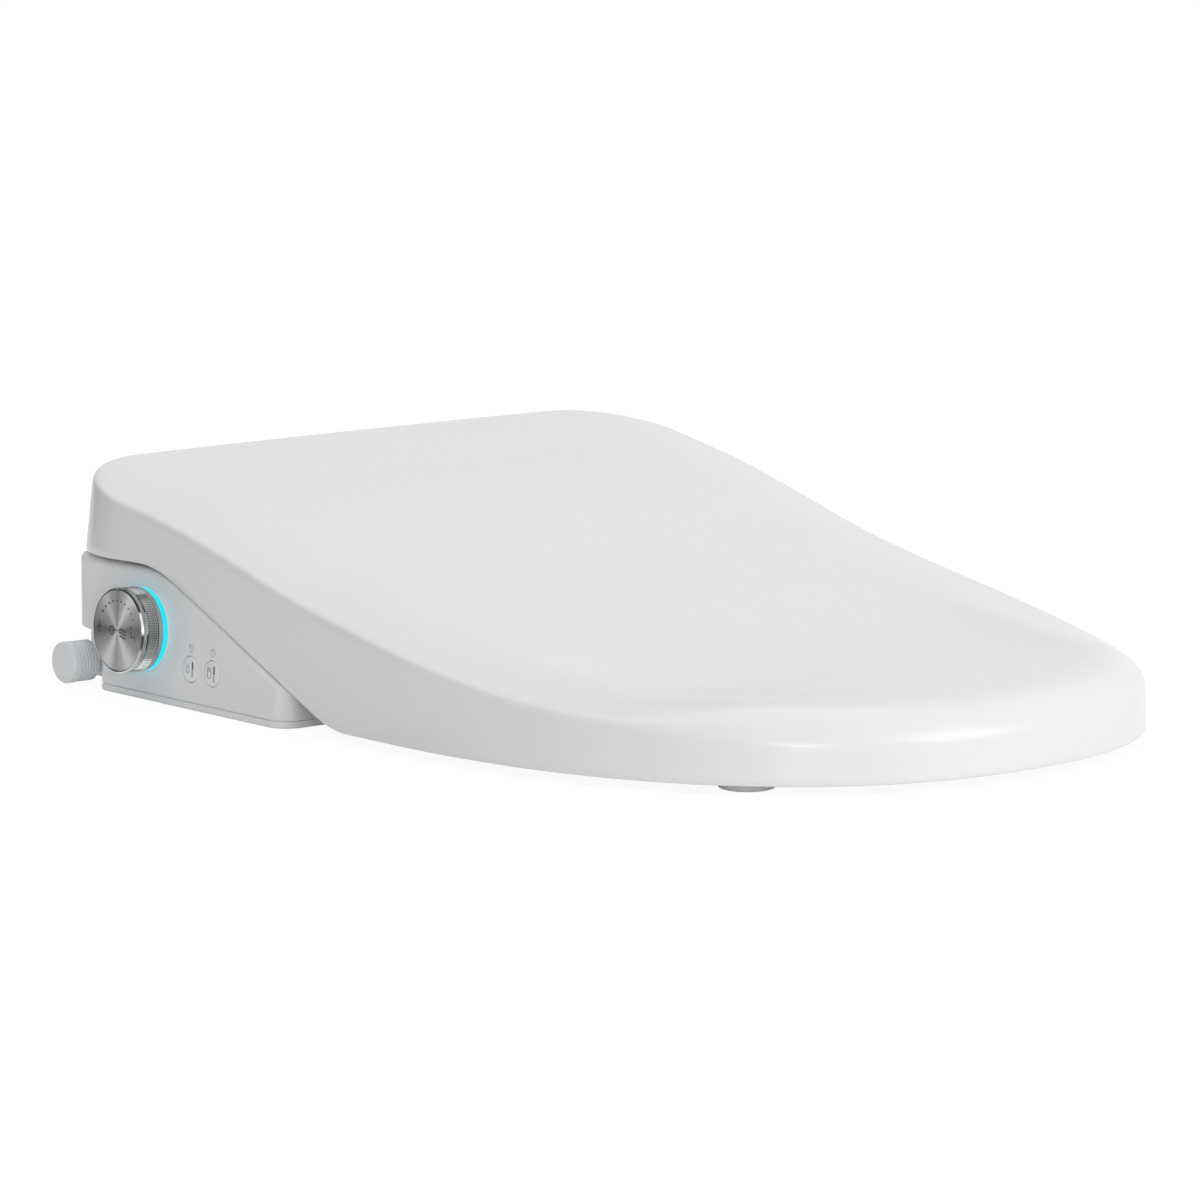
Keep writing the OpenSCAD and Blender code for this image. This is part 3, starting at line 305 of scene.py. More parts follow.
@dataclass(frozen=True)
class SunrayMetal(Finish):
    """Spun steel: fine hairlines round the axis, under painted fans of highlight and shade that stand in for
    the light they throw into rays.
    """

    metallic: float = 1.0
    centre: tuple[float, float, float] = (0.0, 0.0, 0.0)
    axis: tuple[float, float, float] = (0.0, 0.0, 1.0)
    blend: str = "EASE"
    painted_fans: tuple[Plan, ...] = ((0, 1.0), (360, 1.0))
    # Clock angle in degrees and brightness of each fan of painted highlight and shade.
    """Clock angle in degrees and brightness of each fan of light."""
    hairline_mm: float = 0.25
    knurls: int = 0
    # Diamonds of painted glint and shade round the axis; none where it is 0.
    """Diamonds round the axis; none where it is 0."""
    knurl_mm: float = 1.1
    knurl_painted_shade: float = 0.5
    knurl_painted_glint: float = 1.4

    def detail(self, tree: bpy.types.NodeTree, shader: Any) -> None:
        """Paints the fans of highlight and shade by angle and adds the hairlines by radius."""
        coordinate = add_node(tree, "ShaderNodeTexCoord").outputs["Object"]
        frame = axis_frame(Vector(self.centre), Vector(self.axis))
        turn = frame.to_3x3().inverted().to_euler()
        shift = frame.inverted().translation
        local = add_node(
            tree, "ShaderNodeMapping", {
                "Vector": coordinate, "Location": tuple(shift), "Rotation": tuple(turn)
            }
        )
        parts = add_node(tree, "ShaderNodeSeparateXYZ", {"Vector": local.outputs["Vector"]})
        side = add_node(tree, "ShaderNodeMath", {"0": parts.outputs["Y"], "1": -1.0}, operation="MULTIPLY")
        angle = add_node(
            tree, "ShaderNodeMath", {"0": side.outputs["Value"], "1": parts.outputs["X"]}, operation="ARCTAN2"
        )
        turns = add_node(
            tree, "ShaderNodeMath", {"0": angle.outputs["Value"], "1": math.tau}, operation="DIVIDE"
        )
        share = add_node(tree, "ShaderNodeMath", {"0": turns.outputs["Value"]}, operation="FRACT")
        # Painted highlight and shade: brightness by angle round the axis.
        ramp = add_node(tree, "ShaderNodeValToRGB", {"Fac": share.outputs["Value"]})
        ramp.color_ramp.interpolation = self.blend
        stops = ramp.color_ramp.elements
        stops[1].position = 1.0
        for clock, bright in self.painted_fans[1:-1]:
            stops.new(clock / 360).color = (bright, bright, bright, 1.0)
        for stop, (_, bright) in zip((stops[0], stops[len(stops) - 1]), (self.painted_fans[0], self.painted_fans[-1])):
            stop.color = (bright, bright, bright, 1.0)
        # Painted glints and shade on the knurl's points.
        if self.knurls:
            around = add_node(
                tree, "ShaderNodeMath", {
                    "0": share.outputs["Value"], "1": math.tau * self.knurls
                }, operation="MULTIPLY"
            )
            along = add_node(
                tree, "ShaderNodeMath", {"0": parts.outputs["Z"], "1": math.tau / (self.knurl_mm * MM)},
                operation="MULTIPLY",
            )
            waves = [
                add_node(
                    tree, "ShaderNodeMath", {"0": way.outputs["Value"]}, operation="COSINE"
                ).outputs["Value"]
                for way in (around, along)
            ]
            lattice = add_node(tree, "ShaderNodeMath", {"0": waves[0], "1": waves[1]}, operation="ADD")
            point = add_node(
                tree, "ShaderNodeMapRange",
                {
                    "Value": lattice.outputs["Value"], "From Min": -1.2, "From Max": 1.2,
                    "To Min": self.knurl_painted_shade, "To Max": self.knurl_painted_glint
                },
            )
            ramp = add_node(
                tree, "ShaderNodeVectorMath", {"0": ramp.outputs["Color"], "1": point.outputs["Result"]},
                operation="MULTIPLY",
            )
        radius = add_node(tree, "ShaderNodeVectorMath", {"0": local.outputs["Vector"]}, operation="LENGTH")
        hair = add_node(
            tree, "ShaderNodeTexNoise",
            {"W": radius.outputs["Value"], "Scale": 1 / (self.hairline_mm * MM), "Detail": 2.0},
            noise_dimensions="1D",
        )
        hair_bright = add_node(
            tree, "ShaderNodeMapRange", {"Value": hair.outputs["Fac"], "To Min": 0.9, "To Max": 1.1}
        )
        tone = add_node(
            tree, "ShaderNodeMix",
            {"Factor": 1.0, "6": ramp.outputs[0], "7": srgb(self.colour)},
            data_type="RGBA", blend_type="MULTIPLY",
        )
        tint = add_node(
            tree, "ShaderNodeHueSaturation", {
                "Value": hair_bright.outputs["Result"], "Color": tone.outputs[2]
            }
        )
        tree.links.new(tint.outputs["Color"], shader.inputs["Base Color"])


@dataclass(frozen=True)
class Lit(Finish):
    """A translucent ring lit from behind: it gives its own light."""

    glow: str = "10D8EA"
    strength: float = 1.0

    def detail(self, tree: bpy.types.NodeTree, shader: Any) -> None:
        """Sets the ring's own light."""
        shader.inputs["Emission Color"].default_value = srgb(self.glow)
        shader.inputs["Emission Strength"].default_value = self.strength


# ---------------------------------------------------------------- modelling


def axis_frame(centre: Vector, axis: Vector) -> Matrix:
    """A frame at a centre whose Z runs along an axis.

    Args:
        centre: Where its origin is.
        axis: The way its Z points.

    Returns:
        The frame; its X points up where the axis is level, and along the world's X where it is upright.
    """
    out = axis.normalized()
    guide = Vector((0, 0, 1)) if abs(out.z) < 0.9 else Vector((1, 0, 0))
    across = (guide - out * guide.dot(out)).normalized()
    side = out.cross(across)
    frame = Matrix((across, side, out)).transposed().to_4x4()
    frame.translation = centre
    return frame


def deselect() -> None:
    """Leaves edit mode and deselects everything."""
    if bpy.context.mode != "OBJECT":
        bpy.ops.object.mode_set(mode="OBJECT")
    bpy.ops.object.select_all(action="DESELECT")


def edit(piece: Object) -> None:
    """Opens a piece in edit mode, with all of it selected."""
    deselect()
    piece.select_set(True)
    bpy.context.view_layer.objects.active = piece
    bpy.ops.object.mode_set(mode="EDIT")
    bpy.ops.mesh.select_mode(type="VERT")
    bpy.ops.mesh.select_all(action="SELECT")


def apply_modifier(piece: Object, kind: str, **settings: Any) -> None:
    """Puts one modifier on a piece and applies it.

    Args:
        piece: The piece.
        kind: The modifier's type.
        settings: Its settings.
    """
    deselect()
    piece.select_set(True)
    bpy.context.view_layer.objects.active = piece
    modifier = piece.modifiers.new(kind.lower(), kind)
    for key, value in settings.items():
        setattr(modifier, key, value)
    bpy.ops.object.modifier_apply(modifier=modifier.name)


def shade(piece: Object, degrees: float = 35.0) -> None:
    """Shades a piece smooth, with edges sharper than an angle kept."""
    deselect()
    piece.select_set(True)
    bpy.context.view_layer.objects.active = piece
    bpy.ops.object.shade_smooth_by_angle(angle=math.radians(degrees))


def settle(piece: Object, body: Body, finish: Finish, *nodes: str) -> Object:
    """Gives a finished piece its finish, its body and the nodes that it stands for.

    Args:
        piece: The piece.
        body: The body that it rides on.
        finish: Its finish.
        nodes: The nodes that it replaces.

    Returns:
        The piece.
    """
    piece.data.materials.clear()
    piece.data.materials.append(finish.make())
    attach(piece, body.value)
    if nodes:
        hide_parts(*nodes)
    LOG.info("%s: %d faces, %s, on %s", piece.name, len(piece.data.polygons), finish.name, body.value)
    return piece


def joined(name: str, pieces: Sequence[Object]) -> Object:
    """Joins several pieces into one under a name."""
    deselect()
    for piece in pieces:
        piece.select_set(True)
    bpy.context.view_layer.objects.active = pieces[0]
    if len(pieces) > 1:
        bpy.ops.object.join()
    pieces[0].name = name
    return pieces[0]


def turned(
    name: str, profile: Sequence[Plan], frame: Matrix, segments: int = 96, hollow: bool = False
) -> Object:
    """Turns a profile round an axis, as on a lathe.

    Args:
        name: The new piece's name.
        profile: Pairs of radius and height in millimetres, first ring to last, the outer side going up.
        frame: Where the axis stands.
        segments: Facets round the axis.
        hollow: Whether the last ring joins the first, instead of both ends being closed.

    Returns:
        The piece.
    """
    deselect()
    radius, height = profile[0]
    bpy.ops.mesh.primitive_circle_add(vertices=segments, radius=radius * MM, location=(0, 0, 0))
    piece = bpy.context.object
    piece.name = name
    bpy.ops.object.mode_set(mode="EDIT")
    bpy.ops.mesh.select_all(action="SELECT")
    bpy.ops.transform.translate(value=(0, 0, height * MM))
    if not hollow:
        bpy.ops.mesh.edge_face_add()
    for new_radius, new_height in list(profile[1:]) + ([profile[0]] if hollow else []):
        bpy.ops.mesh.extrude_edges_move(TRANSFORM_OT_translate={"value": (0, 0, (new_height - height) * MM)})
        share = new_radius / radius
        bpy.ops.transform.resize(value=(share, share, 1), center_override=(0, 0, new_height * MM))
        radius, height = new_radius, new_height
    if not hollow:
        bpy.ops.mesh.edge_face_add()
    bpy.ops.mesh.select_all(action="SELECT")
    bpy.ops.mesh.remove_doubles(threshold=0.005 * MM)
    bpy.ops.mesh.normals_make_consistent(inside=False)
    bpy.ops.object.mode_set(mode="OBJECT")
    piece.data.transform(frame)
    shade(piece)
    return piece


def plate(name: str, outline: Sequence[Plan], frame: Matrix, low: float, high: float) -> Object:
    """Raises a flat outline into a thin plate.

    Args:
        name: The new piece's name.
        outline: Corners in millimetres, in order round the plate.
        frame: Where the plate lies.
        low: Height of its back in millimetres.
        high: Height of its face in millimetres.

    Returns:
        The piece.
    """
    deselect()
    bpy.ops.mesh.primitive_circle_add(vertices=len(outline), radius=MM, fill_type="NGON")
    piece = bpy.context.object
    piece.name = name
    for vertex, (x, y) in zip(piece.data.vertices, outline):
        vertex.co = (x * MM, y * MM, low * MM)
    edit(piece)
    bpy.ops.mesh.extrude_region_move(TRANSFORM_OT_translate={"value": (0, 0, (high - low) * MM)})
    bpy.ops.mesh.select_all(action="SELECT")
    bpy.ops.mesh.normals_make_consistent(inside=False)
    bpy.ops.object.mode_set(mode="OBJECT")
    piece.data.transform(frame)
    return piece


def stroke(name: str, path: Sequence[Plan], frame: Matrix, width: float, low: float, high: float,
           closed: bool = False) -> Object:
    """Draws a line of even width as a thin raised print.

    Args:
        name: The new piece's name.
        path: Points of the line in millimetres.
        frame: Where it lies.
        width: Width of the line in millimetres.
        low: Height of its back in millimetres.
        high: Height of its face in millimetres.
        closed: Whether the line comes back to its start.

    Returns:
        The piece.
    """
    if len(path) == 2:
        (x, y), (x_end, y_end) = path
        path = [(x, y), ((x + x_end) / 2, (y + y_end) / 2), (x_end, y_end)]
    deselect()
    bpy.ops.mesh.primitive_circle_add(vertices=len(path), radius=MM, fill_type="NOTHING")
    piece = bpy.context.object
    piece.name = name
    for vertex, (x, y) in zip(piece.data.vertices, path):
        vertex.co = (x * MM, y * MM, low * MM)
    edit(piece)
    if not closed:
        mesh = bmesh.from_edit_mesh(piece.data)
        mesh.verts.ensure_lookup_table()
        last = [e for e in mesh.edges if {v.index for v in e.verts} == {0, len(path) - 1}]
        bmesh.ops.delete(mesh, geom=last, context="EDGES")
        bmesh.update_edit_mesh(piece.data)
        bpy.ops.mesh.select_all(action="SELECT")
    bpy.ops.mesh.extrude_edges_move(TRANSFORM_OT_translate={"value": (0, 0, (high - low) * MM)})
    bpy.ops.object.mode_set(mode="OBJECT")
    apply_modifier(piece, "SOLIDIFY", thickness=width * MM, offset=0.0, use_even_offset=True)
    edit(piece)
    bpy.ops.mesh.normals_make_consistent(inside=False)
    bpy.ops.object.mode_set(mode="OBJECT")
    piece.data.transform(frame)
    return piece


class RingSkin:
    """A skin grown ring by ring: each new ring is extruded from the last and laid on its own points."""

    def __init__(self, piece: Object) -> None:
        """Takes a piece open for editing, its rim selected, with the stations of its points."""
        self.piece = piece

    @classmethod
    def started(cls, name: str, ring: Sequence[Vector]) -> "RingSkin":
        """Starts a skin.

        Args:
            name: The piece's name.
            ring: The first ring's points, in metres.

        Returns:
            The skin.
        """
        deselect()
        bpy.ops.mesh.primitive_circle_add(vertices=len(ring), radius=0.1)
        piece = bpy.context.object
        piece.name = name
        mark = piece.data.attributes.new("station", "INT", "POINT")
        for i, vertex in enumerate(piece.data.vertices):
            mark.data[i].value = i
            vertex.co = ring[i]
        edit(piece)
        return cls(piece)

    def grow(self, ring: Sequence[Vector]) -> None:
        """Adds one more ring."""
        bpy.ops.mesh.extrude_edges_move(TRANSFORM_OT_translate={"value": (0, 0, 0)})
        mesh = bmesh.from_edit_mesh(self.piece.data)
        mark = mesh.verts.layers.int["station"]
        for vertex in mesh.verts:
            if vertex.select:
                vertex.co = ring[vertex[mark]]
        bmesh.update_edit_mesh(self.piece.data)

    def close(self) -> Object:
        """Joins what meets, turns the faces outwards and leaves edit mode."""
        bpy.ops.mesh.select_all(action="SELECT")
        bpy.ops.mesh.remove_doubles(threshold=0.01 * MM)
        bpy.ops.mesh.normals_make_consistent(inside=False)
        bpy.ops.object.mode_set(mode="OBJECT")
        self.piece.data.attributes.remove(self.piece.data.attributes["station"])
        return self.piece


def round_edges(
    piece: Object, width_mm: float, chosen: Callable[[Vector, Vector], bool], sharp: float
) -> None:
    """Rounds the sharp edges that are chosen by their ends.

    Args:
        piece: The piece.
        width_mm: Width of the rounding.
        chosen: Whether an edge from one place to another, in millimetres, is rounded.
        sharp: Angle in degrees past which an edge counts as sharp.
    """
    mesh = bmesh.new()
    mesh.from_mesh(piece.data)
    weight = mesh.edges.layers.float.new("bevel_weight_edge")
    for edge in mesh.edges:
        angle = math.degrees(edge.calc_face_angle(0.0))
        outward = edge.is_convex and angle > sharp
        edge[weight] = float(outward and chosen(*(vertex.co / MM for vertex in edge.verts)))
    LOG.info("%s: %d edges rounded", piece.name, sum(edge[weight] > 0 for edge in mesh.edges))
    mesh.to_mesh(piece.data)
    mesh.free()
    apply_modifier(
        piece, "BEVEL", width=width_mm * MM, segments=5, limit_method="WEIGHT", use_clamp_overlap=False
    )
    piece.data.attributes.remove(piece.data.attributes["bevel_weight_edge"])


def refined(node: str, body: Body, finish: Finish, bevel_mm: float, segments: int = 3, sharp: float = 32.0,
            wide: tuple[float, Callable[[Vector, Vector], bool]] | None = None) -> Object:
    """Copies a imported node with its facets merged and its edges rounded.

    Args:
        node: The node.
        body: The body that it rides on.
        finish: Its finish.
        bevel_mm: Width of the rounding.
        segments: Steps in the rounding.
        sharp: Angle in degrees past which an edge is rounded.
        wide: A wider rounding and the edges that it takes first.

    Returns:
        The piece, which stands for the node.
    """
    source = bpy.data.objects[node]
    piece = bpy.data.objects.new(node + "_skin", source.data.copy())
    bpy.context.scene.collection.objects.link(piece)
    edit(piece)
    bpy.ops.mesh.remove_doubles(threshold=0.004 * MM)
    bpy.ops.mesh.dissolve_limited(angle_limit=math.radians(0.4), use_dissolve_boundaries=False)
    bpy.ops.object.mode_set(mode="OBJECT")
    if wide:
        round_edges(piece, *wide, sharp)
    apply_modifier(
        piece, "BEVEL", width=bevel_mm * MM, segments=segments, limit_method="ANGLE",
        angle_limit=math.radians(sharp), use_clamp_overlap=True, miter_outer="MITER_ARC",
    )
    shade(piece, sharp)
    apply_modifier(piece, "WEIGHTED_NORMAL", keep_sharp=True, weight=100)
    return settle(piece, body, finish, node)


# ---------------------------------------------------------------- the lid and the seat


@dataclass(frozen=True)
class Plan2D:
    """Half outline seen from above, in millimetres: straight rear, round corner, long side, round nose."""

    rear_y: float = 60.0
    nose_y: float = -469.8
    rear_half: float = 195.0
    nose_half: float = 190.0
    corner_r: float = 60.0
    bow: float = 1.5
    widest_y: float = -217.0
    nose_power: float = 2.29
    counts: tuple[int, int, int, int] = (10, 16, 40, 44)
    """Points along the rear, the corner, the side and the nose."""

    @property
    def half_count(self) -> int:
        """Points on one half."""
        return sum(self.counts)

    def half_point(self, k: int, inset: float) -> Plan:
        """Place of one point of the right half, moved inwards.

        Args:
            k: Which point, from the middle of the rear to the nose.
            inset: How far inwards it lies.

        Returns:
            Its x and y.
        """
        rear_n, corner_n, side_n, nose_n = self.counts
        corner = max(self.corner_r - inset, 12.0)
        half = self.rear_half - inset
        back = self.rear_y - self.bow - inset
        start = back - corner
        if k < rear_n:
            t = (k + 0.5) / rear_n
            return ((half - corner) * t, back + self.bow * (1 - t * t))
        k -= rear_n
        if k < corner_n:
            turn = math.radians(90 * (k + 0.5) / corner_n)
            return (half - corner + corner * math.sin(turn), start + corner * math.cos(turn))
        k -= corner_n
        if k < side_n:
            t = (k + 0.5) / side_n
            wide = half + (self.nose_half - self.rear_half) * (1 - (1 - t) ** 2)
            return (wide, start + (self.widest_y - start) * t)
        turn = math.radians(90 * (k - side_n + 0.5) / nose_n)
        return (
            (self.nose_half - inset) * math.cos(turn) ** (2 / self.nose_power),
            self.widest_y - (self.widest_y - self.nose_y - inset) * math.sin(turn) ** (2 / self.nose_power),
        )

    def point(self, k: int, inset: float) -> Plan:
        """Place of one point of the whole outline; the left half mirrors the right."""
        n = self.half_count
        if k < n:
            return self.half_point(k, inset)
        x, y = self.half_point(2 * n - 1 - k, inset)
        return (-x, y)


@dataclass(frozen=True)
class Lid:
    """The lid: one moulded shell with a raised front rim band round a shallow dish."""

    length: float = 530.0
    height: float = 111.85
    nose_height: float = 25.0
    wall: float = 3.0
    edge_z: float = 4.4
    rear_edge_z: float = 69.0
    slope_y: float = -178.0
    slope_rise: float = 0.453
    draft: float = 0.037
    flare: float = 0.067
    """Extra outward slope of the wall on its way down at the rear corners."""
    hinge_y: float = 36.0
    hinge_z: float = 84.0
    edge_round: float = 2.6
    fall: tuple[Plan, ...] = (
        (0, 1), (0.12, 0.846), (0.2, 0.757), (0.3, 0.603), (0.4, 0.44), (0.55, 0.262), (0.7, 0.127),
        (0.85, 0.042), (0.93, 0.012),
        (1, 0),
    )
    crown: tuple[Plan, ...] = (
        (0, 1), (0.03, 2.3), (0.15, 4.5), (0.4, 6), (0.6, 4.8), (0.75, 7), (0.83, 11.4), (0.88, 14.2),
        (0.94, 15.4),
        (1, 15),
    )
    band: tuple[Plan, ...] = (
        (-470, 26), (-446, 27), (-400, 33), (-330, 44), (-229, 54), (0, 50), (40, 30), (60, 18)
    )
    """Width of the sloping band inside the edge, by y."""
    fullness: tuple[float, float] = (3.0, 2.2)
    """How full the band's section is, at the nose and behind it."""
    dish_depth: float = 3.0
    dish_width: float = 52.0
    patch_inset: float = 66.0
    columns: int = 35
    rows: int = 75
    finish: Finish = Moulded(
        # Glossy white ABS from a polished mould: broad soft reflections with faint orange peel.
        name="lid_moulded_gloss_abs", colour="E9E9E9", roughness=0.26,
    )
    plan: Plan2D = Plan2D()

    def station(self, y: float) -> float:
        """Share of the length in front of the rear edge."""
        return min(max((self.plan.rear_y - y) / self.length, 0.0), 1.0)

    def side_top(self, y: float) -> float:
        """Height of the top of the side wall."""
        return self.nose_height + (self.height - self.nose_height) * curve(self.fall, self.station(y))

    def crest(self, y: float) -> float:
        """Height of the crest of the rim band."""
        return self.side_top(y) + curve(self.crown, self.station(y))

    def lower_edge(self, y: float) -> float:
        """Height of the lid's lower edge: level at the nose, sloping up the sides, level over the housing."""
        rise = self.slope_rise * (y - self.slope_y)
        skirt = self.edge_z + knee(rise, 6) - knee(rise - (self.rear_edge_z - self.edge_z), 6)
        return skirt + (self.hinge_z + 2 - self.rear_edge_z) * smooth((y - self.hinge_y - 2) / 8)

    def top(self, y: float, edge_y: float, inset: float) -> float:
        """Height of the top surface.

        Args:
            y: Place along the lid.
            edge_y: Place of the nearest point of the edge.
            inset: Distance in from the top of the side wall.

        Returns:
            The height.
        """
        width = curve(self.band, edge_y)
        crest = self.crest(y)
        if inset < width:
            nose, rest = self.fullness
            full = nose + (rest - nose) * smooth((edge_y + 430) / 110)
            return crest - (crest - self.side_top(edge_y)) * (1 - inset / width) ** full
        depth = self.dish_depth * smooth((-215 - y) / 90)
        t = min((inset - width) / self.dish_width, 1.0)
        return crest - depth * (1 - (1 - t) ** 2)

    def place(self, k: int, inset: float, drop: float = 0.0) -> Vector:
        """Point of the top skin for one station of the outline, a distance in from the edge."""
        edge_y = self.plan.point(k, 0)[1]
        lean = self.draft * (self.side_top(edge_y) - self.edge_z) * (1 - inset / self.patch_inset)
        x, y = self.plan.point(k, inset + lean)
        return Vector((x, y, self.top(y, edge_y, inset) - drop)) * MM

    def wall_point(self, k: int, z: float, inset: float = 0.0) -> Vector:
        """Point of the side wall for one station, at a height, a distance in from its face."""
        edge_y = self.plan.point(k, 0)[1]
        flare = self.flare * smooth((edge_y + 60) / 80) * (self.side_top(edge_y) - z)
        x, y = self.plan.point(k, inset + self.draft * (z - self.edge_z) - flare)
        return Vector((x, y, z)) * MM

    def ring(self, make: Callable[[int, float], Vector]) -> list[Vector]:
        """One ring of points, from a function of the station and its place along the lid."""
        return [make(k, self.plan.point(k, 0)[1]) for k in range(2 * self.plan.half_count)]

    def outer_rings(self) -> list[list[Vector]]:
        """Rings from the patch out to the edge, round it and down the wall to the lip."""
        r = self.edge_round
        rings = [
            self.ring(lambda k, y, d=d: self.place(k, d))
            for d in (
                60, 54, 49, 45, 41, 38, 35, 32, 29.5, 27, 24.5, 22, 19.5, 17, 14.5, 12, 10, 8, 6, 4.2, r
            )
        ]
        for t in (0.25, 0.5, 0.75, 1.0):

            def round_point(k: int, y: float, t: float = t) -> Vector:
                inner, outer = self.place(k, r), self.wall_point(k, self.side_top(y) - r)
                corner = self.place(k, 0)
                return inner * (1 - t) ** 2 + corner * 2 * t * (1 - t) + outer * t**2

            rings.append(self.ring(round_point))
        for share in (0.12, 0.3, 0.5, 0.7, 0.88, 1.0):

            def wall_place(k: int, y: float, share: float = share) -> Vector:
                high, low = self.side_top(y) - r, self.lower_edge(y) + 0.9
                return self.wall_point(k, high + (low - high) * share)

            rings.append(self.ring(wall_place))
        return rings

    def inner_rings(self) -> list[list[Vector]]:
        """Rings round the lip, up the inner wall and back under the top to the patch."""
        rings = []
        for inset, rise in ((0.28, 0.28), (0.9, 0.0), (self.wall - 0.6, 0.0), (self.wall, 0.6)):
            rings.append(
                self.ring(lambda k, y, i=inset, r=rise: self.wall_point(k, self.lower_edge(y) + r, i))
            )
        for share in (0.35, 0.7, 1.0):

            def wall_place(k: int, y: float, share: float = share) -> Vector:
                low, high = self.lower_edge(y) + 0.6, self.side_top(y) - self.wall - 2.5
                return self.wall_point(k, low + (high - low) * share, self.wall)

            rings.append(self.ring(wall_place))
        rings.append(self.ring(lambda k, y: self.place(k, self.wall + 0.8, self.wall + 0.7)))
        for d in (6, 9, 13, 18, 24, 31, 40, 52, self.patch_inset):
            rings.append(self.ring(lambda k, y, d=d: self.place(k, d, self.wall)))
        return rings

    def grid_station(self, i: int, j: int) -> int | None:
        """Station of the outline that a grid point on the patch's border belongs to."""
        last = 2 * self.plan.half_count
        half = (self.columns + 1) // 2
        if j == self.rows:
            return (i - half) % last
        if i == self.columns:
            return half - 1 + self.rows - j
        if i == 0:
            return last - half - (self.rows - j)
        if j == 0:
            return last - half - self.rows - i
        return None

    def patch_point(self, i: int, j: int) -> Vector:
        """Point of the patch in the middle of the lid, blended from the four sides of its border."""

        def border(a: int, b: int) -> Vector:
            k = self.grid_station(a, b)
            return Vector((*self.plan.point(k, self.patch_inset), 0.0))

        u, v = i / self.columns, j / self.rows
        c, r = self.columns, self.rows
        flat = (
            border(i, 0) * (1 - v) + border(i, r) * v + border(0, j) * (1 - u) + border(c, j) * u
            - border(0, 0) * (1 - u) * (1 - v) - border(c, 0) * u * (1 - v)
            - border(0, r) * (1 - u) * v - border(c, r) * u * v
        )
        count = 2 * self.plan.half_count
        edge = [self.plan.point(k, 0) for k in range(0, count, 2)]
        near = min(edge, key=lambda p: (p[0] - flat.x) ** 2 + (p[1] - flat.y) ** 2)
        inset = math.hypot(near[0] - flat.x, near[1] - flat.y)
        on_border = self.grid_station(i, j) is not None
        return Vector(
            (flat.x, flat.y, self.top(flat.y, near[1], self.patch_inset if on_border else inset))
        ) * MM

    def build(self) -> Object:
        """Builds the lid.

        Returns:
            The lid's piece.
        """
        deselect()
        bpy.ops.mesh.primitive_grid_add(x_subdivisions=self.columns, y_subdivisions=self.rows, size=1.0)
        piece = bpy.context.object
        piece.name = "lid_shell"
        mark = piece.data.attributes.new("station", "INT", "POINT")
        for n, vertex in enumerate(piece.data.vertices):
            i, j = round((vertex.co.x + 0.5) * self.columns), round((vertex.co.y + 0.5) * self.rows)
            station = self.grid_station(i, j)
            mark.data[n].value = -1 if station is None else station
            vertex.co = self.patch_point(i, j) if station is None else self.place(station, self.patch_inset)
        edit(piece)
        bpy.ops.mesh.duplicate_move(TRANSFORM_OT_translate={"value": (0, 0, -self.wall * MM)})
        bpy.ops.mesh.flip_normals()
        bpy.ops.mesh.select_all(action="DESELECT")
        mesh = bmesh.from_edit_mesh(piece.data)
        upper = {v for v in mesh.verts if v.index < (self.columns + 1) * (self.rows + 1)}
        for edge in mesh.edges:
            edge.select_set(edge.is_boundary and all(v in upper for v in edge.verts))
        bmesh.update_edit_mesh(piece.data)
        skin = RingSkin(piece)
        for ring in self.outer_rings() + self.inner_rings():
            skin.grow(ring)
        skin.close()
        shade(piece, 40)
        return settle(piece, Body.LID, self.finish, "lid")


